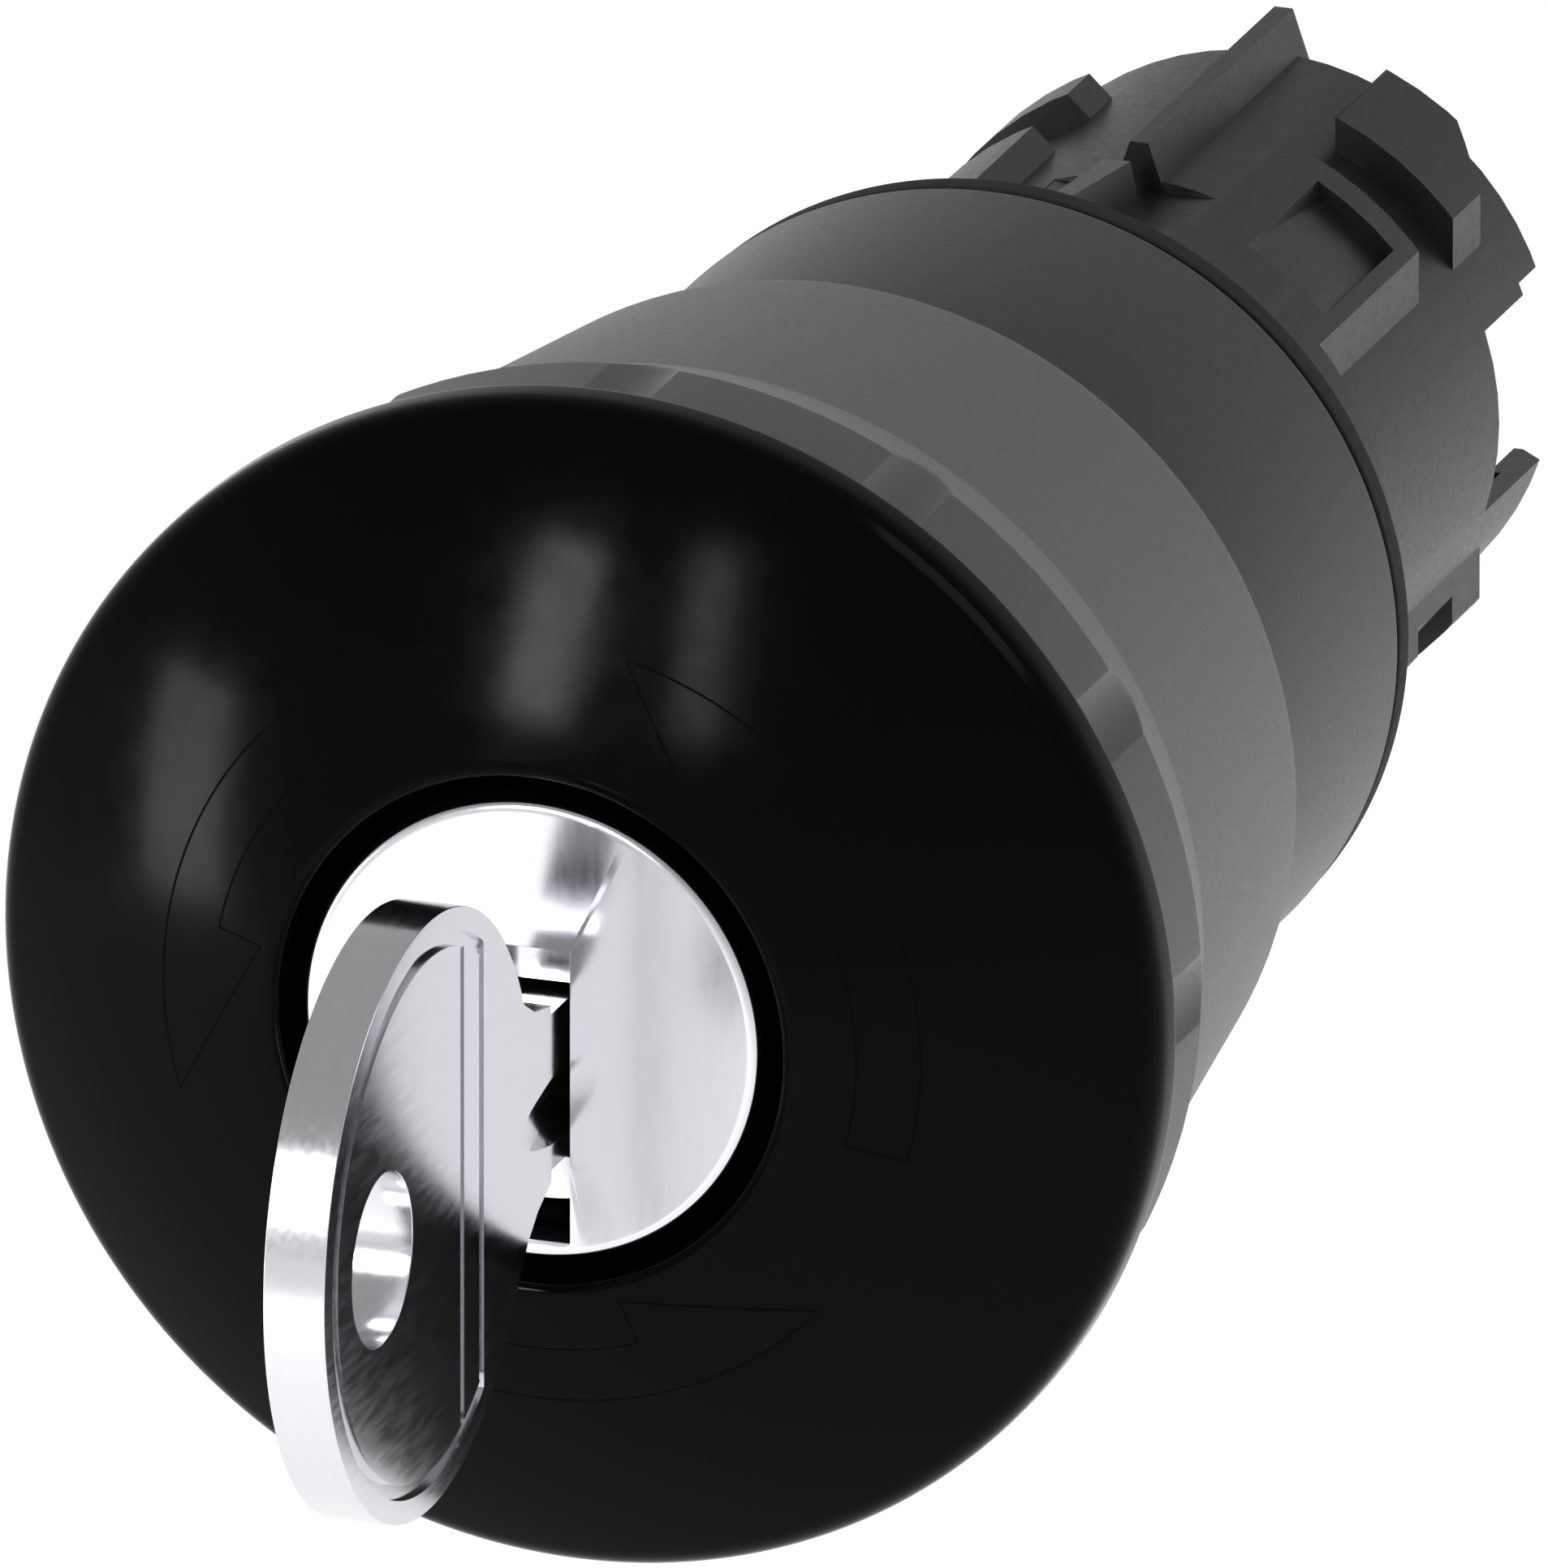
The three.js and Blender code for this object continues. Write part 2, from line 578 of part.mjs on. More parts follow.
// Sunk border on each face of the bow: a ring cut off beside the neck, and a second line behind it.
function bowBorder(side) {
  const face = (side * keyThickness) / 2;
  const span = side > 0 ? [face - border.depth, face + 1] : [face - 1, face + border.depth];
  const disc = (radius) => {
    const shape = new THREE.Shape();
    shape.absarc(bowY, bowZ, radius, 0, Math.PI * 2);
    return prismX(shape, span[0], span[1], 24);
  };
  const chordY = bowY + border.chordOffset;
  const keep = block([span[0] - 1, span[1] + 1], [bowY - 20, chordY + border.chordWidth], [-20, 20]);
  const ring = disc(border.outer).subtract(disc(border.inner)).intersect(keep);
  const line = (y, width) => {
    const reach = Math.sqrt(border.inner ** 2 - (y - bowY) ** 2) + 0.1;
    return block(span, [y, y + width], [bowZ - reach, bowZ + reach]);
  };
  return ring.add(line(chordY, border.chordWidth)).add(line(chordY - 1.8, 0.35));
}

// Round-bottomed groove along one face of the blade, running out into the neck.
function bladeGroove(side, z) {
  const cutter = turned([
    [0, neckY - sideGroove.runOut], [sideGroove.standOff, neckY - sideGroove.runOut],
    [sideGroove.radius, neckY], [sideGroove.radius, bladeTipY + 1], [0, bladeTipY + 1],
  ]);
  return cutter.translate([side * (keyThickness / 2 + sideGroove.standOff), 0, z]);
}

function key() {
  const half = keyThickness / 2;
  let body = keyOutline();
  const hole = new THREE.Shape();
  hole.absarc(bowY - keyHole.offset, bowZ, keyHole.radius, 0, Math.PI * 2);
  body = body.subtract(prismX(hole, -half - 1, half + 1, 16));
  body = body.subtract(bowBorder(1)).subtract(bowBorder(-1));
  body = body.subtract(bladeGroove(1, bladeMiddleZ - 0.7)).subtract(bladeGroove(-1, bladeMiddleZ + 1.2));
  // bitting: one cut in the lower edge under each wafer
  biteDepths.forEach((depth, i) => {
    const bite = outline([
      [waferY(i) - 0.5 - depth, bladeBottomZ - 0.1], [waferY(i) + 0.5 + depth, bladeBottomZ - 0.1],
      [waferY(i) + 0.4, bladeBottomZ + depth], [waferY(i) - 0.4, bladeBottomZ + depth],
    ]);
    body = body.subtract(prismX(bite, -half - 1, half + 1));
  });
  return body;
}

add('key', key(), chrome);

// ---------------------------------------------------------------- collar, gasket and housing
const housingFlange = { length: 1.7, overhang: 1.9 };

function frontCollar() {
  const recess = spigotRadius + housingFlange.overhang + seatGap;
  const recessY = collarFrontY + housingFlange.length + seatGap;
  return turned([
    [collarRadius, collarFrontY], [collarRadius, collarRearY - 0.2], [collarRadius - 0.2, collarRearY],
    [collarBore, collarRearY], [collarBore, recessY], [recess, recessY], [recess, collarFrontY],
  ], fineSegments);
}

add('front_collar', frontCollar(), collarGrey);

// The gasket's notch sits over the front of the locating fin.
function panelGasket() {
  const ring = tube(collarRadius - gasketInset, collarBore, gasketFrontY, 0, fineSegments);
  const notch = [ribMiddleX - finHalfBase - seatGap, ribMiddleX + finHalfBase + seatGap];
  return ring.subtract(block(notch, [gasketFrontY - 1, 1], [0, finFrontZ + seatGap]));
}

add('panel_gasket', panelGasket(), sealBlack);

const sealGroove = { y: -6, depth: 0.9, width: 1.5 };
const blockRadius = spigotRadius;
const boreStepY = spigotLength - 0.6;

// Bayonet blocks stand on the barrel between the spigot and its rear end. Each is a piece of a ring,
// trimmed by flat sides, and a groove for the fixing clip parts its front from its rear.
function blocks() {
  const front = spigotLength - 0.4;
  const ring = (y1) => tube(blockRadius, barrelRadius - 0.5, front, y1, fineSegments);
  const clip = (floor) => tube(blockRadius + 1, floor, blockFrontEnd, blockRearStart, fineSegments);
  const parts = [];
  for (const side of [1, -1]) {
    const cut = clip(side > 0 ? barrelRadius : barrelRadius + 0.45);
    const rightPlan = outline([
      [rightBlockInnerX, front - 1], [blockSideX, front - 1], [blockSideX, rightBlockRear - 2.35],
      [blockSideX - 1.63, rightBlockRear], [rightBlockInnerX, rightBlockRear],
    ]);
    const height = side > 0 ? [4, 12] : [-12, -4];
    parts.push(ring(rightBlockRear).intersect(prismZ(rightPlan, height[0], height[1])).subtract(cut));
    const leftSection = outline([
      [-blockSideX, 4 * side], [-blockSideX, 12 * side], [leftBlockTopX - 2.05, 12 * side],
      [leftBlockTopX, 9.94 * side], [leftBlockTopX + 1.05, 8.93 * side], [leftBlockTopX + 1.05, 4 * side],
    ]);
    parts.push(ring(leftBlockRear).intersect(prismY(leftSection, front - 1, leftBlockRear)).subtract(cut));
  }
  return parts;
}

// Snap ramp sunk into the top of the upper right block, deepest at its rear wall.
function snapRamp() {
  const ramp = { y0: 8.9, y1: 15.8, depth: 0.6 };
  const wedge = turned([
    [blockRadius, ramp.y0], [blockRadius + 2, ramp.y0], [blockRadius + 2, ramp.y1],
    [blockRadius - ramp.depth, ramp.y1],
  ]);
  return wedge.intersect(block([5.45, 8.1], [ramp.y0 - 1, ramp.y1 + 1], [4, 12]));
}

const ribBaseZ = barrelBore + 0.55;

function ridge(topZ, halfTop, halfBase, y0, y1) {
  return prismY(outline([
    [ribMiddleX - halfBase, ribBaseZ], [ribMiddleX + halfBase, ribBaseZ],
    [ribMiddleX + halfTop, topZ], [ribMiddleX - halfTop, topZ],
  ]), y0, y1);
}

function rearHousing() {
  const flange = spigotRadius + housingFlange.overhang;
  const flangeRear = collarFrontY + housingFlange.length;
  const grooveFloor = housingBore + sealGroove.depth;
  const grooveY = [sealGroove.y - sealGroove.width / 2, sealGroove.y + sealGroove.width / 2];
  const beadFloor = snapBead.radius + 0.25;
  const beadY = [snapBead.y0 - 0.3, snapBead.y1 + 0.3];
  let housing = turned([
    [flange, collarFrontY], [flange, flangeRear], [spigotRadius, flangeRear],
    [spigotRadius, spigotLength], [barrelRadius, spigotLength],
    [barrelRadius, barrelLength - barrelEndChamfer], [barrelRadius - barrelEndChamfer, barrelLength],
    [barrelBore, barrelLength], [barrelBore, beadY[1]], [beadFloor, beadY[1]], [beadFloor, beadY[0]],
    [barrelBore, beadY[0]], [barrelBore, stopRing.y1], [stopRing.bore, stopRing.y1],
    [stopRing.bore, stopRing.y0], [barrelBore, stopRing.y0], [barrelBore, boreStepY],
    [housingBore, boreStepY], [housingBore, grooveY[1]], [grooveFloor, grooveY[1]],
    [grooveFloor, grooveY[0]], [housingBore, grooveY[0]], [housingBore, collarFrontY],
  ], fineSegments);
  for (const part of blocks()) housing = housing.add(part);
  housing = housing.subtract(snapRamp());
  // channel through the spigot and a shallow flat behind it, where the locating fin and the rib stand
  const channel = [ribMiddleX - 3, ribMiddleX + 3];
  housing = housing.subtract(block(channel, [0.01, spigotLength + 0.01], [housingBore + 0.65, 14]));
  housing = housing.subtract(block(channel, [spigotLength, ribFrontY + 0.2], [barrelRadius - 0.43, 14]));
  housing = housing.add(ridge(ribTopZ, 0.32, 0.95, ribFrontY, barrelLength));
  const finFrontY = gasketFrontY + 0.05;
  // the fin's foot stays in the spigot's wall, and reaches down to the barrel only behind its bore
  const finFootZ = housingBore + 0.2;
  const finSide = outline([
    [finFrontY, finFootZ], [finFrontY, finFrontZ], [0, finFrontZ], [finRearY, ribTopZ + 0.07],
    [finRearY, ribBaseZ], [boreStepY + 0.3, ribBaseZ], [boreStepY + 0.3, finFootZ],
  ]);
  const fin = ridge(finFrontZ + 0.5, 0.1, finHalfBase, finFrontY, finRearY);
  housing = housing.add(fin.intersect(prismX(finSide, -3, 3)));
  // slots in both sides of the rear end, each a little taller at its upper rear corner
  const half = sideSlotHalfHeight;
  for (const span of [[0, 12], [-12, 0]]) {
    housing = housing.subtract(block(span, [sideSlotStart, barrelLength + 1], [-half, half]));
    housing = housing.subtract(block(span, [barrelLength - 2.5, barrelLength + 1], [0, half + 0.4]));
  }
  return housing;
}

function stemSeal() {
  const radius = 0.32;
  const middle = housingBore - 0.07 + radius;
  const section = Array.from({ length: 6 }, (_, i) => polar(radius, 60 * i + 30));
  return turned(section.map(([r, along]) => [middle + r, sealGroove.y + along]), 40);
}

add('rear_housing', rearHousing(), barrelGrey);
add('stem_seal', stemSeal(), sealBlack);
const headSpring = {
  radius: stemRadius + 1.7, wire: 0.6, turns: 3.5, y0: flangeRearY + seatGap, y1: collarFrontY - seatGap,
};
add('return_spring', coil(...Object.values(headSpring), 16), springSteel);

// ---------------------------------------------------------------- latch
const carrierRadius = barrelBore - 0.35;
const carrierBore = stemTubeRadius + 0.4;
const carrierBaseY = carrierRearY - 1.5;
const pawlHalfWidth = 2.2;
const ringSpring = { y: 17, radius: 8.15, wire: 0.25 };
const footRest = camHalfTall + pawlDrop + 0.25;

// Cage that guides the pawls and lets the pusher's legs pass. A bead snaps into the barrel.
function latchCarrier() {
  let cage = turned([
    [carrierRadius, carrierFrontY], [carrierRadius, snapBead.y0 - 0.2], [snapBead.radius, snapBead.y0],
    [snapBead.radius, snapBead.y1], [carrierRadius, snapBead.y1 + 0.2], [carrierRadius, carrierRearY],
    [3.7, carrierRearY], [3.7, carrierBaseY], [carrierBore, carrierBaseY], [carrierBore, carrierFrontY],
  ]);
  const guide = [-pawlHalfWidth - seatGap, pawlHalfWidth + seatGap];
  const legGap = 0.35;
  const legHalf = pusherLeg.halfWidth + legGap;
  const rearHalf = sideSlotHalfHeight - 0.05;
  for (const side of [-1, 1]) {
    const span = (near, far) => (side > 0 ? [near, far] : [-far, -near]);
    cage = cage.subtract(block(guide, [carrierFrontY + 1, carrierBaseY], span(2, 10)));
    cage = cage.subtract(block(span(pusherLeg.inner - legGap, pusherLeg.outer + legGap),
      [carrierFrontY - 1, carrierRearY + 1], [-legHalf, legHalf]));
    cage = cage.subtract(block(span(pusherLeg.inner - legGap, 10), [sideSlotStart, carrierRearY + 1],
      [-rearHalf, rearHalf]));
  }
  const groove = ringSpring.radius - ringSpring.wire - seatGap;
  return cage.subtract(tube(12, groove, ringSpring.y - 0.65, ringSpring.y + 0.65));
}

// A pawl reaches from its tooth over the stem's tube back to the foot that the release cam lifts.
function latchPawl(side) {
  const toothZ = stemTubeRadius + 0.35;
  const barBottom = toothZ + 0.45;
  const barTop = toothZ + 1.6;
  const rearY = carrierBaseY - seatGap;
  const width = [-pawlHalfWidth, pawlHalfWidth];
  const span = (low, high) => (side > 0 ? [low, high] : [-high, -low]);
  const pawl = block(width, [pawlFrontY, rearY], span(barBottom, barTop))
    .add(block(width, [pawlFrontY, pawlFrontY + pawlTooth], span(toothZ, barTop)))
    .add(block(width, [camY[1] + 1.2, rearY], span(footRest, barTop)));
  const notch = block([-pawlHalfWidth - 1, pawlHalfWidth + 1], [ringSpring.y - 0.8, ringSpring.y + 0.8],
    span(barBottom + 0.55, 12));
  return pawl.subtract(notch);
}

function pawlRingSpring() {
  const { radius, wire, y } = ringSpring;
  const section = Array.from({ length: 6 }, (_, i) => polar(wire, 60 * i));
  const ring = turned(section.map(([r, along]) => [radius + r, y + along]), 36);
  return ring.subtract(block([4, 12], [y - 1, y + 1], [-0.4, 0.4]));
}

add('latch_carrier', latchCarrier(), innerNylon);
add('latch_pawl_upper', latchPawl(1), brass);
add('latch_pawl_lower', latchPawl(-1), brass);
add('pawl_ring_spring', pawlRingSpring(), springSteel);

export default group;
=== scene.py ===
"""Finished looks of a key release mushroom pushbutton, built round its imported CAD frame."""
import json
import math

import bmesh
import bpy
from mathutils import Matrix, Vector


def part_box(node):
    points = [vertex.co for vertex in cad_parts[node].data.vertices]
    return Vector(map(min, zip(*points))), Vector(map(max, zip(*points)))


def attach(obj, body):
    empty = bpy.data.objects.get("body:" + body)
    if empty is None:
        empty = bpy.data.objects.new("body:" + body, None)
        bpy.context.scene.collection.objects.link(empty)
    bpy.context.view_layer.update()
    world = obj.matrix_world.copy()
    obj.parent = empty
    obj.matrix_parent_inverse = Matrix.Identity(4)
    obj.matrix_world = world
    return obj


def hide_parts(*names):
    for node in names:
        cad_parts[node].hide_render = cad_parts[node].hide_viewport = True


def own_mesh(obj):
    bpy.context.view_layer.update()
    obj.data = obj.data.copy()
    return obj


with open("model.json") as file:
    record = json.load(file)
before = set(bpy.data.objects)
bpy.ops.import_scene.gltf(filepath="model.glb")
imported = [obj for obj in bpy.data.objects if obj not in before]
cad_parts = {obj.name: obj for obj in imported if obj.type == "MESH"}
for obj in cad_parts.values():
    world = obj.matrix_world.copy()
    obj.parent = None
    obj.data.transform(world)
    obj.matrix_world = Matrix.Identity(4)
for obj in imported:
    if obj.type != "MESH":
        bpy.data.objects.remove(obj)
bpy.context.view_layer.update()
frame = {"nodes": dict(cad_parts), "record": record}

bl_info = {
    "name": "Key release pushbutton",
    "version": (1, 0, 0),
    "blender": (4, 5, 0),
    "location": "3D View > Sidebar > Pushbutton",
    "description": "Builds the finished surfaces of a key release mushroom pushbutton",
    "category": "Object",
}

MM = 0.001


# ---------------------------------------------------------------- sizes taken from the frame, in mm
def corners_of(node):
    """Lowest and highest corner of a CAD node, in millimetres."""
    low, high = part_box(node)
    return low / MM, high / MM


CAP_LOW, CAP_HIGH = corners_of("mushroom_cap")
GRIP_LOW, GRIP_HIGH = corners_of("grip_skirt")
LOCK_LOW, LOCK_HIGH = corners_of("lock_rotor")
KEY_HIGH = corners_of("key")[1]
COLLAR_LOW, COLLAR_HIGH = corners_of("front_collar")
GASKET_LOW, GASKET_HIGH = corners_of("panel_gasket")
SPRING_LOW, SPRING_HIGH = corners_of("return_spring")

# sizes of the cap and the lock's recess that a box doesn't give, in mm
RIM_DEPTH = 1.0
RIM_CORNER_DEPTH = 1.43
RIM_CORNER_WIDTH = 0.75
CAP_WALL = 1.8
BOSS_WALL = 1.6
RECESS_GAP = 0.8
LOCK_SETBACK = 0.3
RECESS_LIP = 0.35
RIM_ROUND = 0.35
BOSS_CLEARANCE = 0.4

CAP_RADIUS = CAP_HIGH.x
CAP_RIM_Y = CAP_HIGH.y - RIM_DEPTH
LOCK_FACE_Y = LOCK_LOW.y
LOCK_FACE_RADIUS = LOCK_HIGH.x
RECESS_RADIUS = LOCK_FACE_RADIUS + RECESS_GAP
CAP_FACE_Y = LOCK_FACE_Y - LOCK_SETBACK


# ---------------------------------------------------------------- colours
def linear(hex_code):
    """An sRGB hex colour as linear red, green and blue."""
    channels = [int(hex_code[i:i + 2], 16) / 255 for i in (1, 3, 5)]
    return tuple(c / 12.92 if c <= 0.04045 else ((c + 0.055) / 1.055) ** 2.4 for c in channels)


def colour(label, hex_code):
    """A colour setting whose default is an sRGB hex value."""
    return bpy.props.FloatVectorProperty(
        name=label, description=f"Base colour of the {label.lower()}", subtype="COLOR",
        size=3, min=0, max=1, default=linear(hex_code))


def length(label, millimetres, text):
    """A length setting whose default is given in millimetres."""
    return bpy.props.FloatProperty(
        name=label, description=text, unit="LENGTH", precision=5, min=0, default=millimetres * MM)


class ButtonSizes(bpy.types.PropertyGroup):
    """Sizes that belong to the surface and not to the fit of the pieces."""

    moulded_edge: length("Moulded edge", 0.1, "Rounding of the barrel's moulded edges")
    metal_edge: length("Metal edge", 0.12, "Rounding of the key's and the lock's edges")
    arrow_line: length("Arrow line", 0.07, "Width of the engraved turning arrows")
    border_depth: length("Border depth", 0.2, "Depth of the sunk border on the key's bow")
    columns: bpy.props.IntProperty(
        name="Columns", description="Facets round the turned pieces", default=240, min=48, max=720)


class ButtonColours(bpy.types.PropertyGroup):
    """Base colours of the finishes."""

    cap: colour("Cap", "#030304")
    grip: colour("Grip skirt", "#434446")
    collar: colour("Collar", "#161619")
    barrel: colour("Barrel", "#17181a")
    gasket: colour("Gasket", "#1b1c1e")
    plate: colour("Plated metal", "#dcdce0")
    brass: colour("Brass", "#dbbe7a")
    wire: colour("Spring wire", "#b3b4b8")
    nylon: colour("Nylon", "#e4e0d3")
    floor: colour("Floor", "#f4f4f4")


class StudioSettings(bpy.types.PropertyGroup):
    """Floor and light round the button."""

    floor_drop: length("Floor drop", 140, "How far the floor lies below the button's axis")
    key_light: bpy.props.FloatProperty(
        name="Strip light", description="Radiance of the strip lights", default=26, min=0)
    fill: bpy.props.FloatProperty(
        name="Fill", description="Strength of the room's own light", default=0.85, min=0)


# ---------------------------------------------------------------- shader nodes
def add_node(tree, kind, inputs=None, **settings):
    """Adds a node, with its settings, and sets or links each named input."""
    made = tree.nodes.new(kind)
    for name, value in settings.items():
        setattr(made, name, value)
    for name, value in (inputs or {}).items():
        if isinstance(value, bpy.types.NodeSocket):
            tree.links.new(value, made.inputs[name])
        else:
            made.inputs[name].default_value = value
    return made


def start_material(name):
    """An empty material, and its node tree."""
    material = bpy.data.materials.new(name)
    material.use_nodes = True
    material.node_tree.nodes.clear()
    return material, material.node_tree


# a Mix node's colour sockets share their names with its other modes, so they are called by place
MIX_DARK, MIX_LIGHT, MIX_RESULT = 6, 7, 2
# noise seldom leaves this stretch of its 0 to 1 range
NOISE_LOW, NOISE_HIGH = 0.3, 0.7
PLASTIC_IOR = 1.5
CLOUD_MM = 7


def pattern(tree, spacing_mm, detail=2.0, stretch=(1, 1, 1)):
    """Cells about spacing_mm apart, longer along an axis where stretch is under 1."""
    where = add_node(tree, "ShaderNodeTexCoord")
    mapped = add_node(tree, "ShaderNodeMapping", {
        "Vector": where.outputs["Object"], "Scale": stretch})
    cells = add_node(tree, "ShaderNodeTexNoise", {
        "Vector": mapped.outputs["Vector"], "Scale": 1 / (spacing_mm * MM), "Detail": detail})
    return cells.outputs["Fac"]


def surface(tree, base, tone, gloss, bumps, **constants):
    """The Principled shader with its output, driven by patterns: tone is (pattern, darkest, lightest)
    as factors of the base colour, gloss is (pattern, lowest, highest) roughness, and bumps is
    (pattern, height in mm). The constants go on the shader's own sockets."""
    shades = add_node(tree, "ShaderNodeMix", {
        "Factor": tone[0],
        MIX_DARK: (*[c * tone[1] for c in base], 1),
        MIX_LIGHT: (*[c * tone[2] for c in base], 1)}, data_type="RGBA")
    rough = add_node(tree, "ShaderNodeMapRange", {
        "Value": gloss[0], "From Min": NOISE_LOW, "From Max": NOISE_HIGH,
        "To Min": gloss[1], "To Max": gloss[2]})
    relief = add_node(tree, "ShaderNodeBump", {
        "Height": bumps[0], "Distance": bumps[1] * MM, "Strength": 1.0})
    inputs = {"Base Color": shades.outputs[MIX_RESULT], "Roughness": rough.outputs["Result"],
              "Normal": relief.outputs["Normal"]}
    inputs.update({name.replace("_", " "): value for name, value in constants.items()})
    shader = add_node(tree, "ShaderNodeBsdfPrincipled", inputs)
    add_node(tree, "ShaderNodeOutputMaterial", {"Surface": shader.outputs["BSDF"]})


def moulded_plastic(name, base, roughness, grain_mm, depth_mm, level):
    """Injection moulded plastic that shows the grain of its mould, with faint clouds in its colour."""
    material, tree = start_material(name)
    grain = pattern(tree, grain_mm, detail=3)
    cloud = pattern(tree, CLOUD_MM, detail=1)
    surface(tree, base, tone=(cloud, 0.93, 1.07), gloss=(grain, *roughness), bumps=(grain, depth_mm),
            IOR=PLASTIC_IOR, Specular_IOR_Level=level)
    return material


def polished_black_cap(colours):
    """ABS from a polished mould: near black, with reflections only where light is strong or grazing."""
    material, tree = start_material("polished_black_abs")
    flow = pattern(tree, 9, detail=1)
    wear = pattern(tree, 1.2, detail=4)
    surface(tree, colours.cap, tone=(flow, 0.9, 1.1), gloss=(wear, 0.12, 0.17), bumps=(flow, 0.004),
            IOR=PLASTIC_IOR, Specular_IOR_Level=0.045)
    return material


def satin_grip(colours):
    """Glass filled polyamide from a spark eroded mould: mid grey satin that brightens at grazing angles.
    The real grain is about 0.05 mm and is drawn at 0.22 mm so that it shows."""
    return moulded_plastic("spark_eroded_grey_polyamide", colours.grip, roughness=(0.38, 0.45),
                           grain_mm=0.22, depth_mm=0.003, level=0.5)


def satin_collar(colours):
    """The same moulding compound, darker, with a little more gloss than the grip.
    The real grain is about 0.05 mm here too and is drawn at 0.2 mm so that it shows."""
    return moulded_plastic("satin_dark_polyamide", colours.collar, roughness=(0.34, 0.4),
                           grain_mm=0.2, depth_mm=0.0025, level=0.4)


def matt_barrel(colours):
    """Moulded polyamide from a plain tool: dark, evenly matt, with soft edge lights.
    Such a tool's grain is about 0.05 mm and is drawn at 0.26 mm so that it shows."""
    return moulded_plastic("matt_dark_polyamide", colours.barrel, roughness=(0.34, 0.42),
                           grain_mm=0.26, depth_mm=0.0025, level=0.4)


def dull_rubber(colours):
    """Nitrile rubber: almost black, with a dull, slightly dusty surface.
    The specks of its bloom are under 0.1 mm and are drawn at 0.3 mm so that they show."""
    return moulded_plastic("moulded_nitrile_rubber", colours.gasket, roughness=(0.68, 0.82),
                           grain_mm=0.3, depth_mm=0.01, level=0.3)


def natural_nylon(colours):
    """Unfilled natural nylon: warm off-white with a soft, waxy look.
    The mould's grain is about 0.05 mm and is drawn at 0.3 mm so that it shows."""
    return moulded_plastic("natural_nylon", colours.nylon, roughness=(0.45, 0.58),
                           grain_mm=0.3, depth_mm=0.005, level=0.4)


def metal(name, base, roughness, spacing_mm, stretch, depth_mm):
    """Metal with the fine lines that its working leaves."""
    material, tree = start_material(name)
    lines = pattern(tree, spacing_mm, detail=3, stretch=stretch)
    surface(tree, base, tone=(lines, 0.97, 1.03), gloss=(lines, *roughness), bumps=(lines, depth_mm),
            Metallic=1.0)
    return material


def chrome_plate(colours):
    """Chrome on polished zinc: a near mirror. Its polishing lines are too fine to see,
    and are drawn 0.3 mm apart and very shallow."""
    return metal("chrome_plated_zinc", colours.plate, roughness=(0.15, 0.19),
                 spacing_mm=0.3, stretch=(1, 1, 0.2), depth_mm=0.0001)


def nickel_key(colours):
    """Nickel on stamped steel: bright, with lines along the bow from tumbling. The real lines are
    too fine to see, and are drawn 0.25 mm apart so that they show."""
    return metal("nickel_plated_steel", colours.plate, roughness=(0.13, 0.18),
                 spacing_mm=0.25, stretch=(1, 0.15, 1), depth_mm=0.0002)


def sleeve_in_painted_shade(colours):
    """The lock's sleeve: zinc drawn dull in the cap's near black, as painted shade in the gap round the
    lock.
    A casting's grain is about 0.1 mm and is drawn at 0.3 mm so that it shows."""
    return metal("sleeve_black_painted_shade", colours.cap, roughness=(0.4, 0.5),
                 spacing_mm=0.3, stretch=(1, 1, 1), depth_mm=0.001)


def turned_brass(colours):
    """Brass straight from the tool: warm and softly bright.
    The tool's lines are about 0.05 mm apart and are drawn 0.3 mm apart so that they show."""
    return metal("machined_brass", colours.brass, roughness=(0.26, 0.36),
                 spacing_mm=0.3, stretch=(1, 0.3, 1), depth_mm=0.001)


def drawn_wire(colours):
    """Drawn spring steel: grey, with a dull shine along the wire.
    The die's marks are under 0.05 mm and are drawn at 0.25 mm so that they show."""
    return metal("drawn_spring_steel", colours.wire, roughness=(0.28, 0.38),
                 spacing_mm=0.25, stretch=(1, 1, 1), depth_mm=0.001)


def engraving_black(colours):
    """Bottom of an engraved line: the cap's own black without its gloss.
    The cutter's marks are under 0.05 mm and are drawn at 0.3 mm so that they show."""
    return moulded_plastic("engraved_black_abs", colours.cap, roughness=(0.75, 0.85),
                           grain_mm=0.3, depth_mm=0.002, level=0.05)


FINISHES = {
    "gloss_black": polished_black_cap,
    "grip_grey": satin_grip,
    "collar_grey": satin_collar,
    "barrel_grey": matt_barrel,
    "seal_rubber": dull_rubber,
    "chrome": chrome_plate,
    "brass": turned_brass,
    "spring_steel": drawn_wire,
    "inner_nylon": natural_nylon,
    # the lock's sleeve is drawn near black: painted shade in the gap round the lock
    "sleeve": sleeve_in_painted_shade,
    "key": nickel_key,
    "engraving": engraving_black,
}
made_finishes = {}


def finish_of(name):
    """The material of a finish, made once."""
    if name not in made_finishes:
        made_finishes[name] = FINISHES[name](bpy.context.scene.button_colours)
    return made_finishes[name]


# ---------------------------------------------------------------- mesh work
LONGEST_EASE = 0.45
ON_AXIS = 1e-6


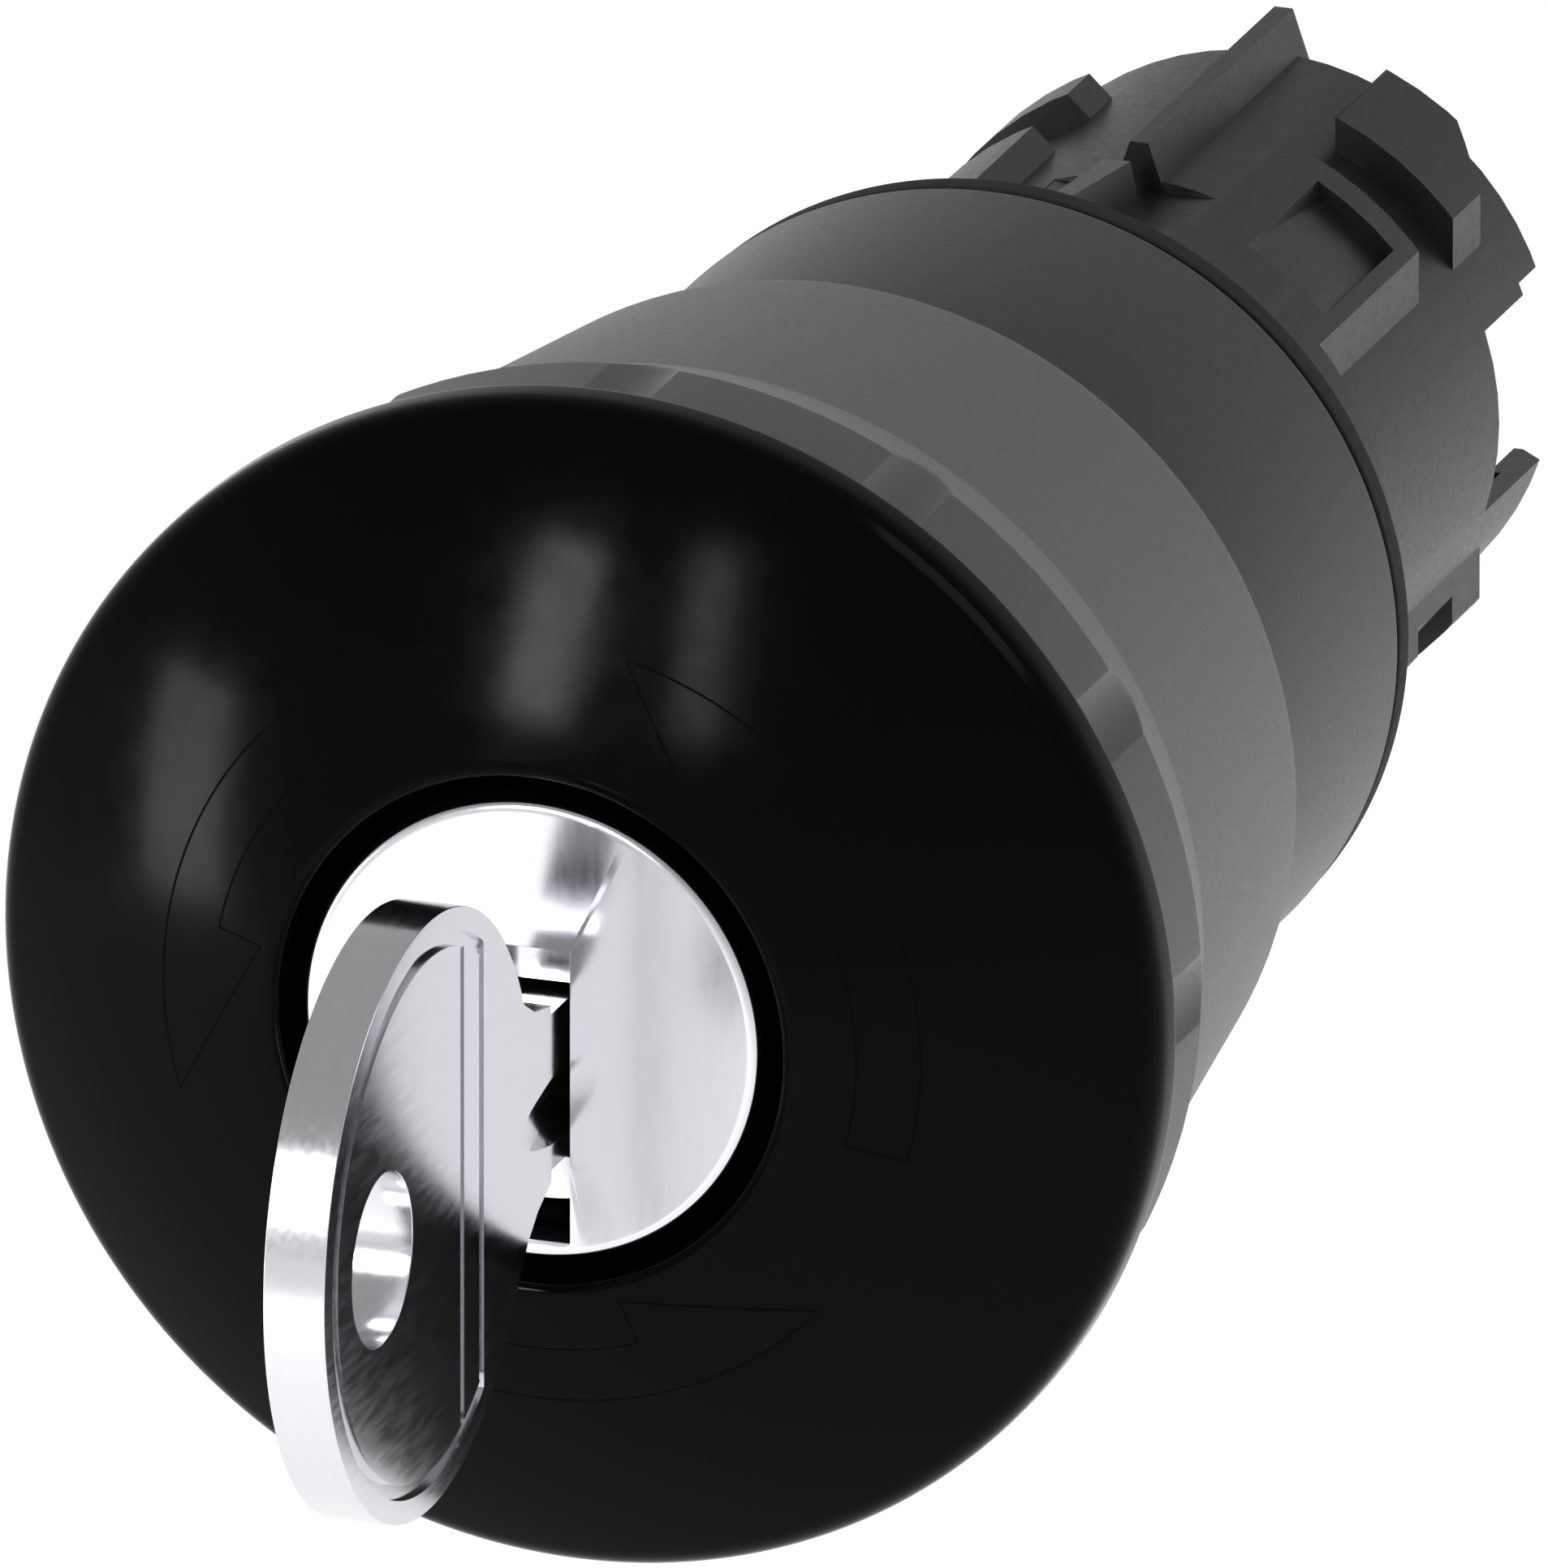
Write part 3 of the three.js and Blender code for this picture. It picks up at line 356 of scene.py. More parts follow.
def rounded(corners, steps=6):
    """Closed outline with each (a, b, radius) corner eased by a curve. Plain (a, b) corners stay sharp."""
    points = []
    for i, corner in enumerate(corners):
        here = Vector(corner[:2])
        radius = corner[2] if len(corner) > 2 else 0
        if radius == 0:
            points.append(here)
            continue
        before = Vector(corners[i - 1][:2]) - here
        after = Vector(corners[(i + 1) % len(corners)][:2]) - here
        half = before.angle(after) / 2
        reach = min(radius / math.tan(half), before.length * LONGEST_EASE,
                    after.length * LONGEST_EASE)
        start = here + before.normalized() * reach
        end = here + after.normalized() * reach
        for k in range(steps + 1):
            t = k / steps
            points.append(start * (1 - t) ** 2 + here * 2 * t * (1 - t) + end * t ** 2)
    return [tuple(p) for p in points]


def turned(profile, columns, radius_at=None, angles_at=None):
    """Vertices and faces of a closed (radius, y) profile turned round the Y axis.
    radius_at(radius, y, angle) reshapes it, and angles_at(radius, y) places its columns."""
    even = [2 * math.pi * i / columns for i in range(columns)]
    vertices, rings = [], []
    for radius, y in profile:
        if radius < ON_AXIS:
            rings.append([len(vertices)])
            vertices.append((0, y, 0))
            continue
        angles = angles_at(radius, y) if angles_at else even
        rings.append(list(range(len(vertices), len(vertices) + len(angles))))
        for a in angles:
            r = radius_at(radius, y, a) if radius_at else radius
            vertices.append((r * math.cos(a), y, r * math.sin(a)))
    faces = []
    for near, far in zip(rings, rings[1:] + rings[:1]):
        count = max(len(near), len(far))
        for i in range(count):
            j = (i + 1) % count
            loop = [near[i % len(near)], near[j % len(near)], far[j % len(far)], far[i % len(far)]]
            loop = list(dict.fromkeys(loop))
            if len(loop) > 2:
                faces.append(loop)
    return vertices, faces


def plate(outline, x0, x1):
    """Vertices and faces of a (y, z) outline between two planes across X."""
    count = len(outline)
    vertices = [(x, y, z) for x in (x0, x1) for y, z in outline]
    faces = [list(range(count)), list(range(2 * count - 1, count - 1, -1))]
    faces += [[i, (i + 1) % count, count + (i + 1) % count, count + i] for i in range(count)]
    return vertices, faces


def brick(x, y, z):
    """Vertices and faces of a block from its spans along X, Y and Z."""
    return plate([(y[0], z[0]), (y[1], z[0]), (y[1], z[1]), (y[0], z[1])], x[0], x[1])


def circle(y, z, radius, start=0.0, end=360.0, steps=96):
    """Points of an arc in the (y, z) plane, in degrees. A whole circle leaves out its last point."""
    whole = abs(end - start) >= 360
    turns = [math.radians(start + (end - start) * k / steps) for k in range(steps + (not whole))]
    return [(y + radius * math.cos(a), z + radius * math.sin(a)) for a in turns]


def piece(name, shape):
    """An object from vertices in millimetres and faces, with its faces pointing out."""
    vertices, faces = shape
    mesh = bpy.data.meshes.new(name)
    mesh.from_pydata([Vector(v) * MM for v in vertices], [], faces)
    work = bmesh.new()
    work.from_mesh(mesh)
    bmesh.ops.recalc_face_normals(work, faces=work.faces)
    work.to_mesh(mesh)
    work.free()
    made = bpy.data.objects.new(name, mesh)
    bpy.context.scene.collection.objects.link(made)
    return made


def apply_modifiers(made):
    """Bakes the modifiers of a piece into its mesh."""
    bpy.context.view_layer.update()
    graph = bpy.context.evaluated_depsgraph_get()
    mesh = bpy.data.meshes.new_from_object(made.evaluated_get(graph))
    made.modifiers.clear()
    made.data = mesh


def cut(made, *shapes):
    """Cuts closed shapes out of a piece."""
    for shape in shapes:
        tool = piece("cutter", shape)
        modifier = made.modifiers.new("cut", "BOOLEAN")
        modifier.operation = "DIFFERENCE"
        modifier.solver = "EXACT"
        modifier.object = tool
        apply_modifiers(made)
        bpy.data.objects.remove(tool)
    if not made.data.polygons:
        raise RuntimeError(f"{made.name}: nothing is left after its cuts")


def ease_edges(made, width, angle=30):
    """Rounds every edge sharper than an angle, in degrees."""
    modifier = made.modifiers.new("edge", "BEVEL")
    modifier.width = width
    modifier.segments = 2
    modifier.limit_method = "ANGLE"
    modifier.angle_limit = math.radians(angle)
    modifier.use_clamp_overlap = True
    modifier.miter_outer = "MITER_ARC"
    apply_modifiers(made)


def complete(made, finish, body, slot, *nodes, angle=32, flat_faces=False):
    """Shades a piece, gives it its finish, and puts it in the frame."""
    made.data.shade_smooth()
    made.data.set_sharp_from_angle(angle=math.radians(angle))
    if flat_faces:
        modifier = made.modifiers.new("true_faces", "WEIGHTED_NORMAL")
        modifier.keep_sharp = True
        apply_modifiers(made)
    made.data.materials.clear()
    made.data.materials.append(finish_of(finish))
    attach(made, body)
    if nodes:
        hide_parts(*nodes)


# ---------------------------------------------------------------- cap
DOME_STEPS, CORNER_STEPS, UNDERSIDE_STEPS, LIP_STEPS = 40, 12, 10, 6

# the turning arrows: radii in mm, sweeps and places in degrees
ARROW_OUTER, ARROW_INNER, BARB_RADIUS = 13.05, 11.08, 9.47
ARROW_SWEEP, BARB_AT, SHAFT_SWEEP = 92, 63.9, 63.8
ARROW_TAILS = (105, -15, 225)
OUTER_STEPS, INNER_STEPS = 60, 42
ARROW_PART = 0.5
ARROW_SUNK, ARROW_PROUD = 0.05, 0.012


def dome():
    """Centre and radius of the sphere through the recess edge and the top of the rim's corner."""
    edge_r, edge_y = CAP_RADIUS - RIM_CORNER_WIDTH, CAP_RIM_Y - RIM_CORNER_DEPTH
    centre = (edge_r ** 2 + edge_y ** 2 - RECESS_RADIUS ** 2 - CAP_FACE_Y ** 2)
    centre /= 2 * (edge_y - CAP_FACE_Y)
    return edge_r, edge_y, centre, math.hypot(RECESS_RADIUS, CAP_FACE_Y - centre)


def dome_y(radius, inset=0.0):
    """Height of the dome, or of a surface inset below it, at a radius."""
    _, _, centre, sphere = dome()
    return centre - math.sqrt((sphere - inset) ** 2 - radius ** 2)


def cap_profile():
    """Closed outline of the cap's wall: dome, rim, underside and the recess for the lock."""
    edge_r, edge_y, centre, _ = dome()
    wall, boss_rear, lip = CAP_WALL, GRIP_LOW.y - BOSS_CLEARANCE, RECESS_LIP
    slope = edge_r / (centre - edge_y)
    control = Vector((CAP_RADIUS, edge_y + slope * (CAP_RADIUS - edge_r)))
    start, end = Vector((edge_r, edge_y)), Vector((CAP_RADIUS, CAP_RIM_Y))
    first = RECESS_RADIUS + lip
    radii = [first + (edge_r - first) * k / DOME_STEPS for k in range(DOME_STEPS)]
    points = [(r, dome_y(r)) for r in radii]
    for k in range(CORNER_STEPS + 1):
        t = k / CORNER_STEPS
        points.append(tuple(start * (1 - t) ** 2 + control * 2 * t * (1 - t) + end * t ** 2))
    rear, inner, boss = CAP_HIGH.y, CAP_RADIUS - wall, RECESS_RADIUS + BOSS_WALL
    rim = rounded([(CAP_RADIUS, CAP_RIM_Y), (CAP_RADIUS, rear, RIM_ROUND), (inner, rear)])
    points += rim[1:]
    under = [inner + (boss - inner) * k / UNDERSIDE_STEPS for k in range(1, UNDERSIDE_STEPS + 1)]
    points += [(r, dome_y(r, wall)) for r in under]
    points += [(boss, boss_rear), (RECESS_RADIUS, boss_rear)]
    for k in range(LIP_STEPS):
        a = math.pi / 2 * k / LIP_STEPS
        points.append((RECESS_RADIUS + lip * (1 - math.cos(a)),
                       dome_y(first) + lip * (1 - math.sin(a))))
    return points


def arrow_path(tail):
    """Outline of one engraved turning arrow, as (radius, degrees) corners."""
    points = [(ARROW_OUTER, tail + ARROW_SWEEP * k / OUTER_STEPS) for k in range(OUTER_STEPS + 1)]
    points += [(BARB_RADIUS, tail + BARB_AT), (ARROW_INNER, tail + SHAFT_SWEEP)]
    points += [(ARROW_INNER, tail + SHAFT_SWEEP * (1 - k / INNER_STEPS))
               for k in range(1, INNER_STEPS + 1)]
    return points + [(ARROW_OUTER, tail)]


def arrow_ribbon(tail, width):
    """Thin strip that follows an arrow's outline on the dome."""
    flat = []
    corners = arrow_path(tail)
    for (r0, a0), (r1, a1) in zip(corners, corners[1:]):
        p = Vector((r0 * math.cos(math.radians(a0)), r0 * math.sin(math.radians(a0))))
        q = Vector((r1 * math.cos(math.radians(a1)), r1 * math.sin(math.radians(a1))))
        parts = max(1, round((q - p).length / ARROW_PART))
        flat += [p.lerp(q, k / parts) for k in range(parts)]
    count, vertices, faces = len(flat), [], []
    for i, here in enumerate(flat):
        along = (flat[(i + 1) % count] - flat[i - 1]).normalized()
        side = Vector((-along.y, along.x)) * width / 2
        for lift, sign in ((ARROW_PROUD, 1), (ARROW_PROUD, -1), (-ARROW_SUNK, -1), (-ARROW_SUNK, 1)):
            at = here + side * sign
            vertices.append((at.x, dome_y(at.length) - lift, at.y))
    for i in range(count):
        a, b = 4 * i, 4 * ((i + 1) % count)
        faces += [[a + k, a + (k + 1) % 4, b + (k + 1) % 4, b + k] for k in range(4)]
    return vertices, faces


class PUSHBUTTON_OT_cap(bpy.types.Operator):
    """Makes the domed black cap and the turning arrows engraved in it"""

    bl_idname = "pushbutton.cap"
    bl_label = "Mushroom cap"

    def execute(self, context):
        sizes = context.scene.button_sizes
        cap = piece("cap_dome", turned(cap_profile(), sizes.columns))
        complete(cap, "gloss_black", "head", "gloss_black", "mushroom_cap")
        for i, tail in enumerate(ARROW_TAILS):
            arrow = piece(f"turning_arrow_{i + 1}", arrow_ribbon(tail, sizes.arrow_line / MM))
            complete(arrow, "engraving", "head", "gloss_black")
        return {"FINISHED"}


# ---------------------------------------------------------------- grip skirt
SCALLOPS = 12
SCALLOP_RADIUS = 1.9
SCALLOP_DEPTH = 0.45
SCALLOP_SOFT = 0.05
SCALLOP_CLEAR = 0.3
SCALLOP_REAR = 9.85
LEAST_HALF_ANGLE = 0.4
GRIP_INSET = 0.8
GRIP_HEIGHT, WAIST_DEPTH = 5.95, 9.75
GRIP_WALL, SKIRT_WALL, OUTER_FACE_INSET = 2.3, 1.2, 2.2
GRIP_LIP, LIP_FRONT, LIP_REAR, CONE_FRONT = 1, 3.8, 5, 6
SKIRT_OVER_COLLAR = 1.83
SKIRT_TAPER = 0.128
PROFILE_PART = 0.4
GRIP_RADIUS = CAP_RADIUS - GRIP_INSET
SCALLOP_CENTRE = GRIP_RADIUS - SCALLOP_DEPTH + SCALLOP_RADIUS


def scallop_half_angle(radius):
    """Half the angle that a scallop takes out of a circle of this radius."""
    cosine = (radius ** 2 + SCALLOP_CENTRE ** 2 - SCALLOP_RADIUS ** 2) / (2 * radius * SCALLOP_CENTRE)
    return max(math.acos(min(1, cosine)), math.radians(LEAST_HALF_ANGLE))


def grip_columns(radius, _y):
    """Columns that crowd towards the edges of the scallops and lie on them."""
    pitch = math.radians(360 / SCALLOPS)
    half = scallop_half_angle(radius)
    inside = [half * f for f in (0, 0.3, 0.55, 0.75, 0.88, 0.95, 1)]
    outside = [half + (pitch / 2 - half) * f for f in (0.04, 0.12, 0.25, 0.45, 0.7)]
    one_side = inside + outside
    offsets = [-a for a in reversed(one_side[1:])] + one_side + [pitch / 2]
    return [pitch * i + a for i in range(SCALLOPS) for a in offsets]


def grip_radius(radius, y, angle):
    """Outer radius once the scallops are cut, with a soft edge where the two meet."""
    pitch = math.radians(360 / SCALLOPS)
    off = (angle + pitch / 2) % pitch - pitch / 2
    inside = SCALLOP_RADIUS ** 2 - (SCALLOP_CENTRE * math.sin(off)) ** 2
    if inside <= 0:
        return radius
    floor = SCALLOP_CENTRE * math.cos(off) - math.sqrt(inside)
    if radius - floor < -SCALLOP_CLEAR or radius < SCALLOP_CENTRE - SCALLOP_RADIUS - SCALLOP_SOFT:
        return radius
    blend = max(SCALLOP_SOFT - abs(radius - floor), 0) / SCALLOP_SOFT
    return min(radius, floor) - blend ** 2 * SCALLOP_SOFT / 4


def grip_profile():
    """Closed outline of the wall that the grip ring and the skirt share."""
    front, rear = GRIP_LOW.y, GRIP_HIGH.y
    waist, shoulder = front + WAIST_DEPTH, front + GRIP_HEIGHT
    rear_radius = COLLAR_HIGH.x + SKIRT_OVER_COLLAR

    def cone(y):
        return rear_radius + SKIRT_TAPER * (rear - y)

    inner = GRIP_RADIUS - GRIP_WALL
    lip = inner - GRIP_LIP
    corners = rounded([
        (inner, front, 0.15), (GRIP_RADIUS, front, 0.22), (GRIP_RADIUS, shoulder, 0.25),
        (cone(waist), waist, 0.5), (rear_radius, rear, 0.15), (rear_radius - SKIRT_WALL, rear, 0.15),
        (cone(front + CONE_FRONT) - SKIRT_WALL, front + CONE_FRONT), (lip, front + LIP_REAR),
        (lip, front + LIP_FRONT), (inner, front + LIP_FRONT)])
    points = []
    for here, after in zip(corners, corners[1:] + corners[:1]):
        parts = max(1, math.ceil(math.dist(here, after) / PROFILE_PART))
        points += [(here[0] + (after[0] - here[0]) * k / parts,
                    here[1] + (after[1] - here[1]) * k / parts) for k in range(parts)]
    return points


class PUSHBUTTON_OT_grip(bpy.types.Operator):
    """Makes the grey grip ring with its twelve scallops and the tapered skirt behind it"""

    bl_idname = "pushbutton.grip"
    bl_label = "Grip skirt"

    def execute(self, context):
        inner = GRIP_RADIUS - OUTER_FACE_INSET

        def shaped(radius, y, angle):
            outer_face = radius > inner and y < GRIP_LOW.y + SCALLOP_REAR
            return grip_radius(radius, y, angle) if outer_face else radius

        skirt = piece("grip_and_skirt", turned(grip_profile(), 0, shaped, grip_columns))
        complete(skirt, "grip_grey", "head", "grip_grey", "grip_skirt", angle=24)
        return {"FINISHED"}


# ---------------------------------------------------------------- lock and key
KEY_HALF = KEY_HIGH.x
FACE_DEPTH, FACE_FLANGE, KEYWAY_GAP = 1.3, 1.65, 0.3
FACE_REAR_Y = LOCK_FACE_Y + FACE_DEPTH
ROTOR_RADIUS = LOCK_FACE_RADIUS - FACE_FLANGE
KEYWAY_HALF = KEY_HALF + KEYWAY_GAP
KEYWAY_END = 3.2
BLADE_TOP, BLADE_BOTTOM = 1.0, -4.4
BITES = (0.9, 0.4, 1.2, 0.6, 1.0)
FIRST_WAFER, WAFER_PITCH = 2.9, 3.8
WAFER_PLACES = [FACE_REAR_Y + FIRST_WAFER + WAFER_PITCH * i for i in range(len(BITES))]
CLIP_GROOVE_FRONT, CLIP_GROOVE_REAR, CLIP_GROOVE_DEPTH = 1.8, 0.7, 0.8
DRIVE_HALF, DRIVE_DEPTH, DRIVE_REACH = 1.3, 1.6, 3.3
WAFER_TOP, SPRING_POCKET_BASE = 1.5, 1.2
WAFER_SLOT_HALF = 0.9
WAFER_REACH = 2.9
SPRING_POCKET_TOP = 5.7
FACE_SLOT_Z = (-7.2, 2.85)


class PUSHBUTTON_OT_lock(bpy.types.Operator):
    """Makes the lock's plated rotor: its face, the slot for the key and the slots for the wafers"""

    bl_idname = "pushbutton.lock"
    bl_label = "Lock rotor"

    def execute(self, context):
        rear = LOCK_HIGH.y
        groove_front, groove_rear = rear - CLIP_GROOVE_FRONT, rear - CLIP_GROOVE_REAR
        groove_floor = ROTOR_RADIUS - CLIP_GROOVE_DEPTH
        profile = rounded([
            (0, LOCK_FACE_Y), (LOCK_FACE_RADIUS, LOCK_FACE_Y, 0.4), (LOCK_FACE_RADIUS, FACE_REAR_Y, 0.1),
            (ROTOR_RADIUS, FACE_REAR_Y), (ROTOR_RADIUS, groove_front), (groove_floor, groove_front),
            (groove_floor, groove_rear), (ROTOR_RADIUS, groove_rear), (ROTOR_RADIUS, rear),
            (0, rear)])
        rotor = piece("lock_face_and_rotor", turned(profile, 160))
        slot_x = (-KEYWAY_HALF, KEYWAY_HALF)
        ahead = LOCK_FACE_Y - 1
        cut(rotor,
            brick(slot_x, (ahead, FACE_REAR_Y), FACE_SLOT_Z),
            brick(slot_x, (ahead, rear - KEYWAY_END),
                  (BLADE_BOTTOM - KEYWAY_GAP, BLADE_TOP + KEYWAY_GAP)))
        for y in WAFER_PLACES:
            span = (y - WAFER_SLOT_HALF, y + WAFER_SLOT_HALF)
            cut(rotor,
                brick((-WAFER_REACH, WAFER_REACH), span,
                      (-ROTOR_RADIUS - 1, BLADE_TOP + WAFER_TOP)),
                brick((-WAFER_SLOT_HALF, WAFER_SLOT_HALF), span,
                      (BLADE_TOP + SPRING_POCKET_BASE, SPRING_POCKET_TOP)))
        cut(rotor, brick((-DRIVE_HALF, DRIVE_HALF), (rear - DRIVE_DEPTH, rear + 1),
                         (-DRIVE_REACH, DRIVE_REACH)))
        ease_edges(rotor, context.scene.button_sizes.metal_edge)
        complete(rotor, "chrome", "rotor", "chrome", "lock_rotor", angle=50, flat_faces=True)
        return {"FINISHED"}


BOW_REACH, NECK_REACH = 12.7, 0.9
BOW_Y, BOW_Z, BOW_RADIUS = LOCK_FACE_Y - BOW_REACH, -2.0, 10.1
NECK_Y = LOCK_FACE_Y - NECK_REACH
BOW_FROM, BOW_TO = -30.3, -335.5
BITE_HALF = 0.4
RING_HOLE_OFFSET, RING_HOLE_RADIUS = 4.5, 2.9
GROOVE_OUT, GROOVE_RADIUS, GROOVE_RUNOUT = 1.05, 1.55, 3.4


def key_outline():
    """Outline of the key: tip, bitted lower edge, neck, round bow and plain upper edge."""
    tip = KEY_HIGH.y
    points = [(tip, BLADE_BOTTOM + 1), (tip - 1, BLADE_BOTTOM)]
    for y, depth in reversed(list(zip(WAFER_PLACES, BITES))):
        points += [(y + BITE_HALF + depth, BLADE_BOTTOM), (y + BITE_HALF, BLADE_BOTTOM + depth),
                   (y - BITE_HALF, BLADE_BOTTOM + depth), (y - BITE_HALF - depth, BLADE_BOTTOM)]
    points += [(NECK_Y, BLADE_BOTTOM), (NECK_Y, BLADE_BOTTOM - 0.4),
               (NECK_Y - 1.3, BLADE_BOTTOM - 1), (NECK_Y - 2.2, BLADE_BOTTOM - 1.7)]
    points += circle(BOW_Y, BOW_Z, BOW_RADIUS, BOW_FROM, BOW_TO, 110)
    points += [(NECK_Y - 1.6, BLADE_TOP + 0.6), (NECK_Y, BLADE_TOP + 0.3), (NECK_Y, BLADE_TOP),
               (tip - 0.8, BLADE_TOP), (tip, BLADE_TOP - 0.8)]
    return points


def border_line(y, width, reach, x0, x1):
    """Straight line of the border, across the bow."""
    return brick((x0, x1), (y, y + width), (BOW_Z - reach, BOW_Z + reach))


def border_ring(x0, x1):
    """Curved part of the border: a ring that stops at the straight line beside the neck."""
    outer, inner, chord = 9.3, 8.8, 5.25
    out_angle, in_angle = math.degrees(math.acos(chord / outer)), math.degrees(math.acos(chord / inner))
    outline = circle(BOW_Y, BOW_Z, outer, out_angle, 360 - out_angle, 90)
    outline += circle(BOW_Y, BOW_Z, inner, 360 - in_angle, in_angle, 90)
    return plate(outline, x0, x1)


def blade_groove(side, z):
    """Round groove in a face of the blade, running out towards the bow."""
    vertices, faces = turned([
        (0, NECK_Y - GROOVE_RUNOUT), (GROOVE_OUT, NECK_Y - GROOVE_RUNOUT), (GROOVE_RADIUS, NECK_Y),
        (GROOVE_RADIUS, KEY_HIGH.y + 1), (0, KEY_HIGH.y + 1)], 48)
    return [(x + side * (KEY_HALF + GROOVE_OUT), y, w + z) for x, y, w in vertices], faces


class PUSHBUTTON_OT_key(bpy.types.Operator):
    """Makes the key: round bow with a sunk border and a ring hole, grooved blade and bitting"""

    bl_idname = "pushbutton.key"
    bl_label = "Key"

    def execute(self, context):
        sizes = context.scene.button_sizes
        key = piece("flat_key", plate(key_outline(), -KEY_HALF, KEY_HALF))
        cut(key,
            plate(circle(BOW_Y - RING_HOLE_OFFSET, BOW_Z, RING_HOLE_RADIUS, steps=72),
                  -KEY_HALF - 1, KEY_HALF + 1),
            blade_groove(1, -2.4), blade_groove(-1, -0.5))
        ease_edges(key, sizes.metal_edge)
        depth = sizes.border_depth / MM
        for side in (1, -1):
            x0, x1 = sorted((side * (KEY_HALF - depth), side * (KEY_HALF + 1)))
            cut(key, border_ring(x0, x1), border_line(BOW_Y + 4.8, 0.45, 7.3, x0, x1),
                border_line(BOW_Y + 3.0, 0.35, 8.2, x0, x1))
        complete(key, "key", "key_body", "chrome", "key", angle=50, flat_faces=True)
        return {"FINISHED"}


# ---------------------------------------------------------------- collar, gasket, barrel, spring
COLLAR_TO_BORE, COLLAR_SKIN, COLLAR_POCKET = 2.89, 0.99, 2
WELD_DISTANCE, FLAT_ANGLE = 0.002, 1
SPRING_WIRE, SPRING_TURNS, SPRING_STEPS, SPRING_SIDES = 0.6, 3.5, 224, 14


class PUSHBUTTON_OT_collar(bpy.types.Operator):
    """Makes the plain round collar in front of the panel and the gasket behind it"""

    bl_idname = "pushbutton.collar"
    bl_label = "Collar and gasket"

    def execute(self, context):
        columns = context.scene.button_sizes.columns
        radius, front, rear = COLLAR_HIGH.x, COLLAR_LOW.y, COLLAR_HIGH.y
        bore, pocket = radius - COLLAR_TO_BORE, radius - COLLAR_SKIN
        collar = piece("round_collar", turned(rounded([
            (radius, front, 0.3), (radius, rear, 0.22), (bore, rear), (bore, front + COLLAR_POCKET),
            (pocket, front + COLLAR_POCKET), (pocket, front)]), columns))
        complete(collar, "collar_grey", "housing", "collar_grey", "front_collar")
        outer, gasket_front = GASKET_HIGH.x, GASKET_LOW.y
        gasket = piece("flat_gasket", turned(rounded([
            (outer, gasket_front, 0.12), (outer, 0, 0.12), (bore, 0), (bore, gasket_front)]), columns))
        fin_middle, notch_half, notch_top = 0.24, 1.15, 12.8
        notch = (fin_middle - notch_half, fin_middle + notch_half)
        cut(gasket, brick(notch, (gasket_front - 1, 1), (0, notch_top)))
        complete(gasket, "seal_rubber", "housing", "seal_rubber", "panel_gasket")
        return {"FINISHED"}


class PUSHBUTTON_OT_barrel(bpy.types.Operator):
    """Makes the ribbed barrel, with its moulded edges rounded"""

    bl_idname = "pushbutton.barrel"
    bl_label = "Barrel"

    def execute(self, context):
        source = frame["nodes"]["rear_housing"]
        barrel = bpy.data.objects.new("ribbed_barrel", source.data.copy())
        context.scene.collection.objects.link(barrel)
        work = bmesh.new()
        work.from_mesh(barrel.data)
        bmesh.ops.remove_doubles(work, verts=work.verts, dist=WELD_DISTANCE * MM)
        bmesh.ops.dissolve_limit(
            work, angle_limit=math.radians(FLAT_ANGLE), verts=work.verts, edges=work.edges)
        work.to_mesh(barrel.data)
        work.free()
        ease_edges(barrel, context.scene.button_sizes.moulded_edge, angle=20)
        complete(barrel, "barrel_grey", "housing", "barrel_grey", "rear_housing",
                 angle=50, flat_faces=True)
        return {"FINISHED"}


def helix_wire(radius, wire, turns, y0, y1, steps, sides):
    """Round wire wound on a helix round the Y axis, with flat ends."""
    vertices, faces = [], []
    slope = (y1 - y0) / (2 * math.pi * turns)
    for i in range(steps + 1):
        a = 2 * math.pi * turns * i / steps
        out = Vector((math.cos(a), 0, math.sin(a)))
        along = Vector((-radius * math.sin(a), slope, radius * math.cos(a))).normalized()
        up = along.cross(out).normalized()
        centre = out * radius + Vector((0, y0 + (y1 - y0) * i / steps, 0))
        for k in range(sides):
            b = 2 * math.pi * k / sides
            vertices.append(centre + out * wire * math.cos(b) + up * wire * math.sin(b))
    for i in range(steps):
        a, b = i * sides, (i + 1) * sides
        faces += [[a + k, a + (k + 1) % sides, b + (k + 1) % sides, b + k] for k in range(sides)]
    faces += [list(range(sides)), list(range(steps * sides, (steps + 1) * sides))]
    return vertices, faces


class PUSHBUTTON_OT_spring(bpy.types.Operator):
    """Makes the head's return spring"""

    bl_idname = "pushbutton.spring"
    bl_label = "Return spring"

    def execute(self, context):
        front, rear = SPRING_LOW.y, SPRING_HIGH.y
        radius = SPRING_HIGH.x - SPRING_WIRE
        spring = piece("head_return_spring", helix_wire(
            radius, SPRING_WIRE, SPRING_TURNS, front + SPRING_WIRE, rear - SPRING_WIRE,
            SPRING_STEPS, SPRING_SIDES))
        complete(spring, "spring_steel", "housing", "spring_steel", "return_spring")
        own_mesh(spring)
        return {"FINISHED"}


class PUSHBUTTON_OT_inner(bpy.types.Operator):
    """Gives every piece inside the button its finish"""

    bl_idname = "pushbutton.inner"
    bl_label = "Inner pieces"

    def execute(self, context):
        for part in frame["record"]["subparts"]:
            node = frame["nodes"][part["node"]]
            if not node.hide_render:
                # the lock's sleeve takes the cap's near black instead of its own finish: painted shade in
                # the gap round the lock
                finish = "sleeve" if part["node"] == "lock_stator" else part["material_slot"]
                for place in node.material_slots:
                    place.material = finish_of(finish)
        return {"FINISHED"}


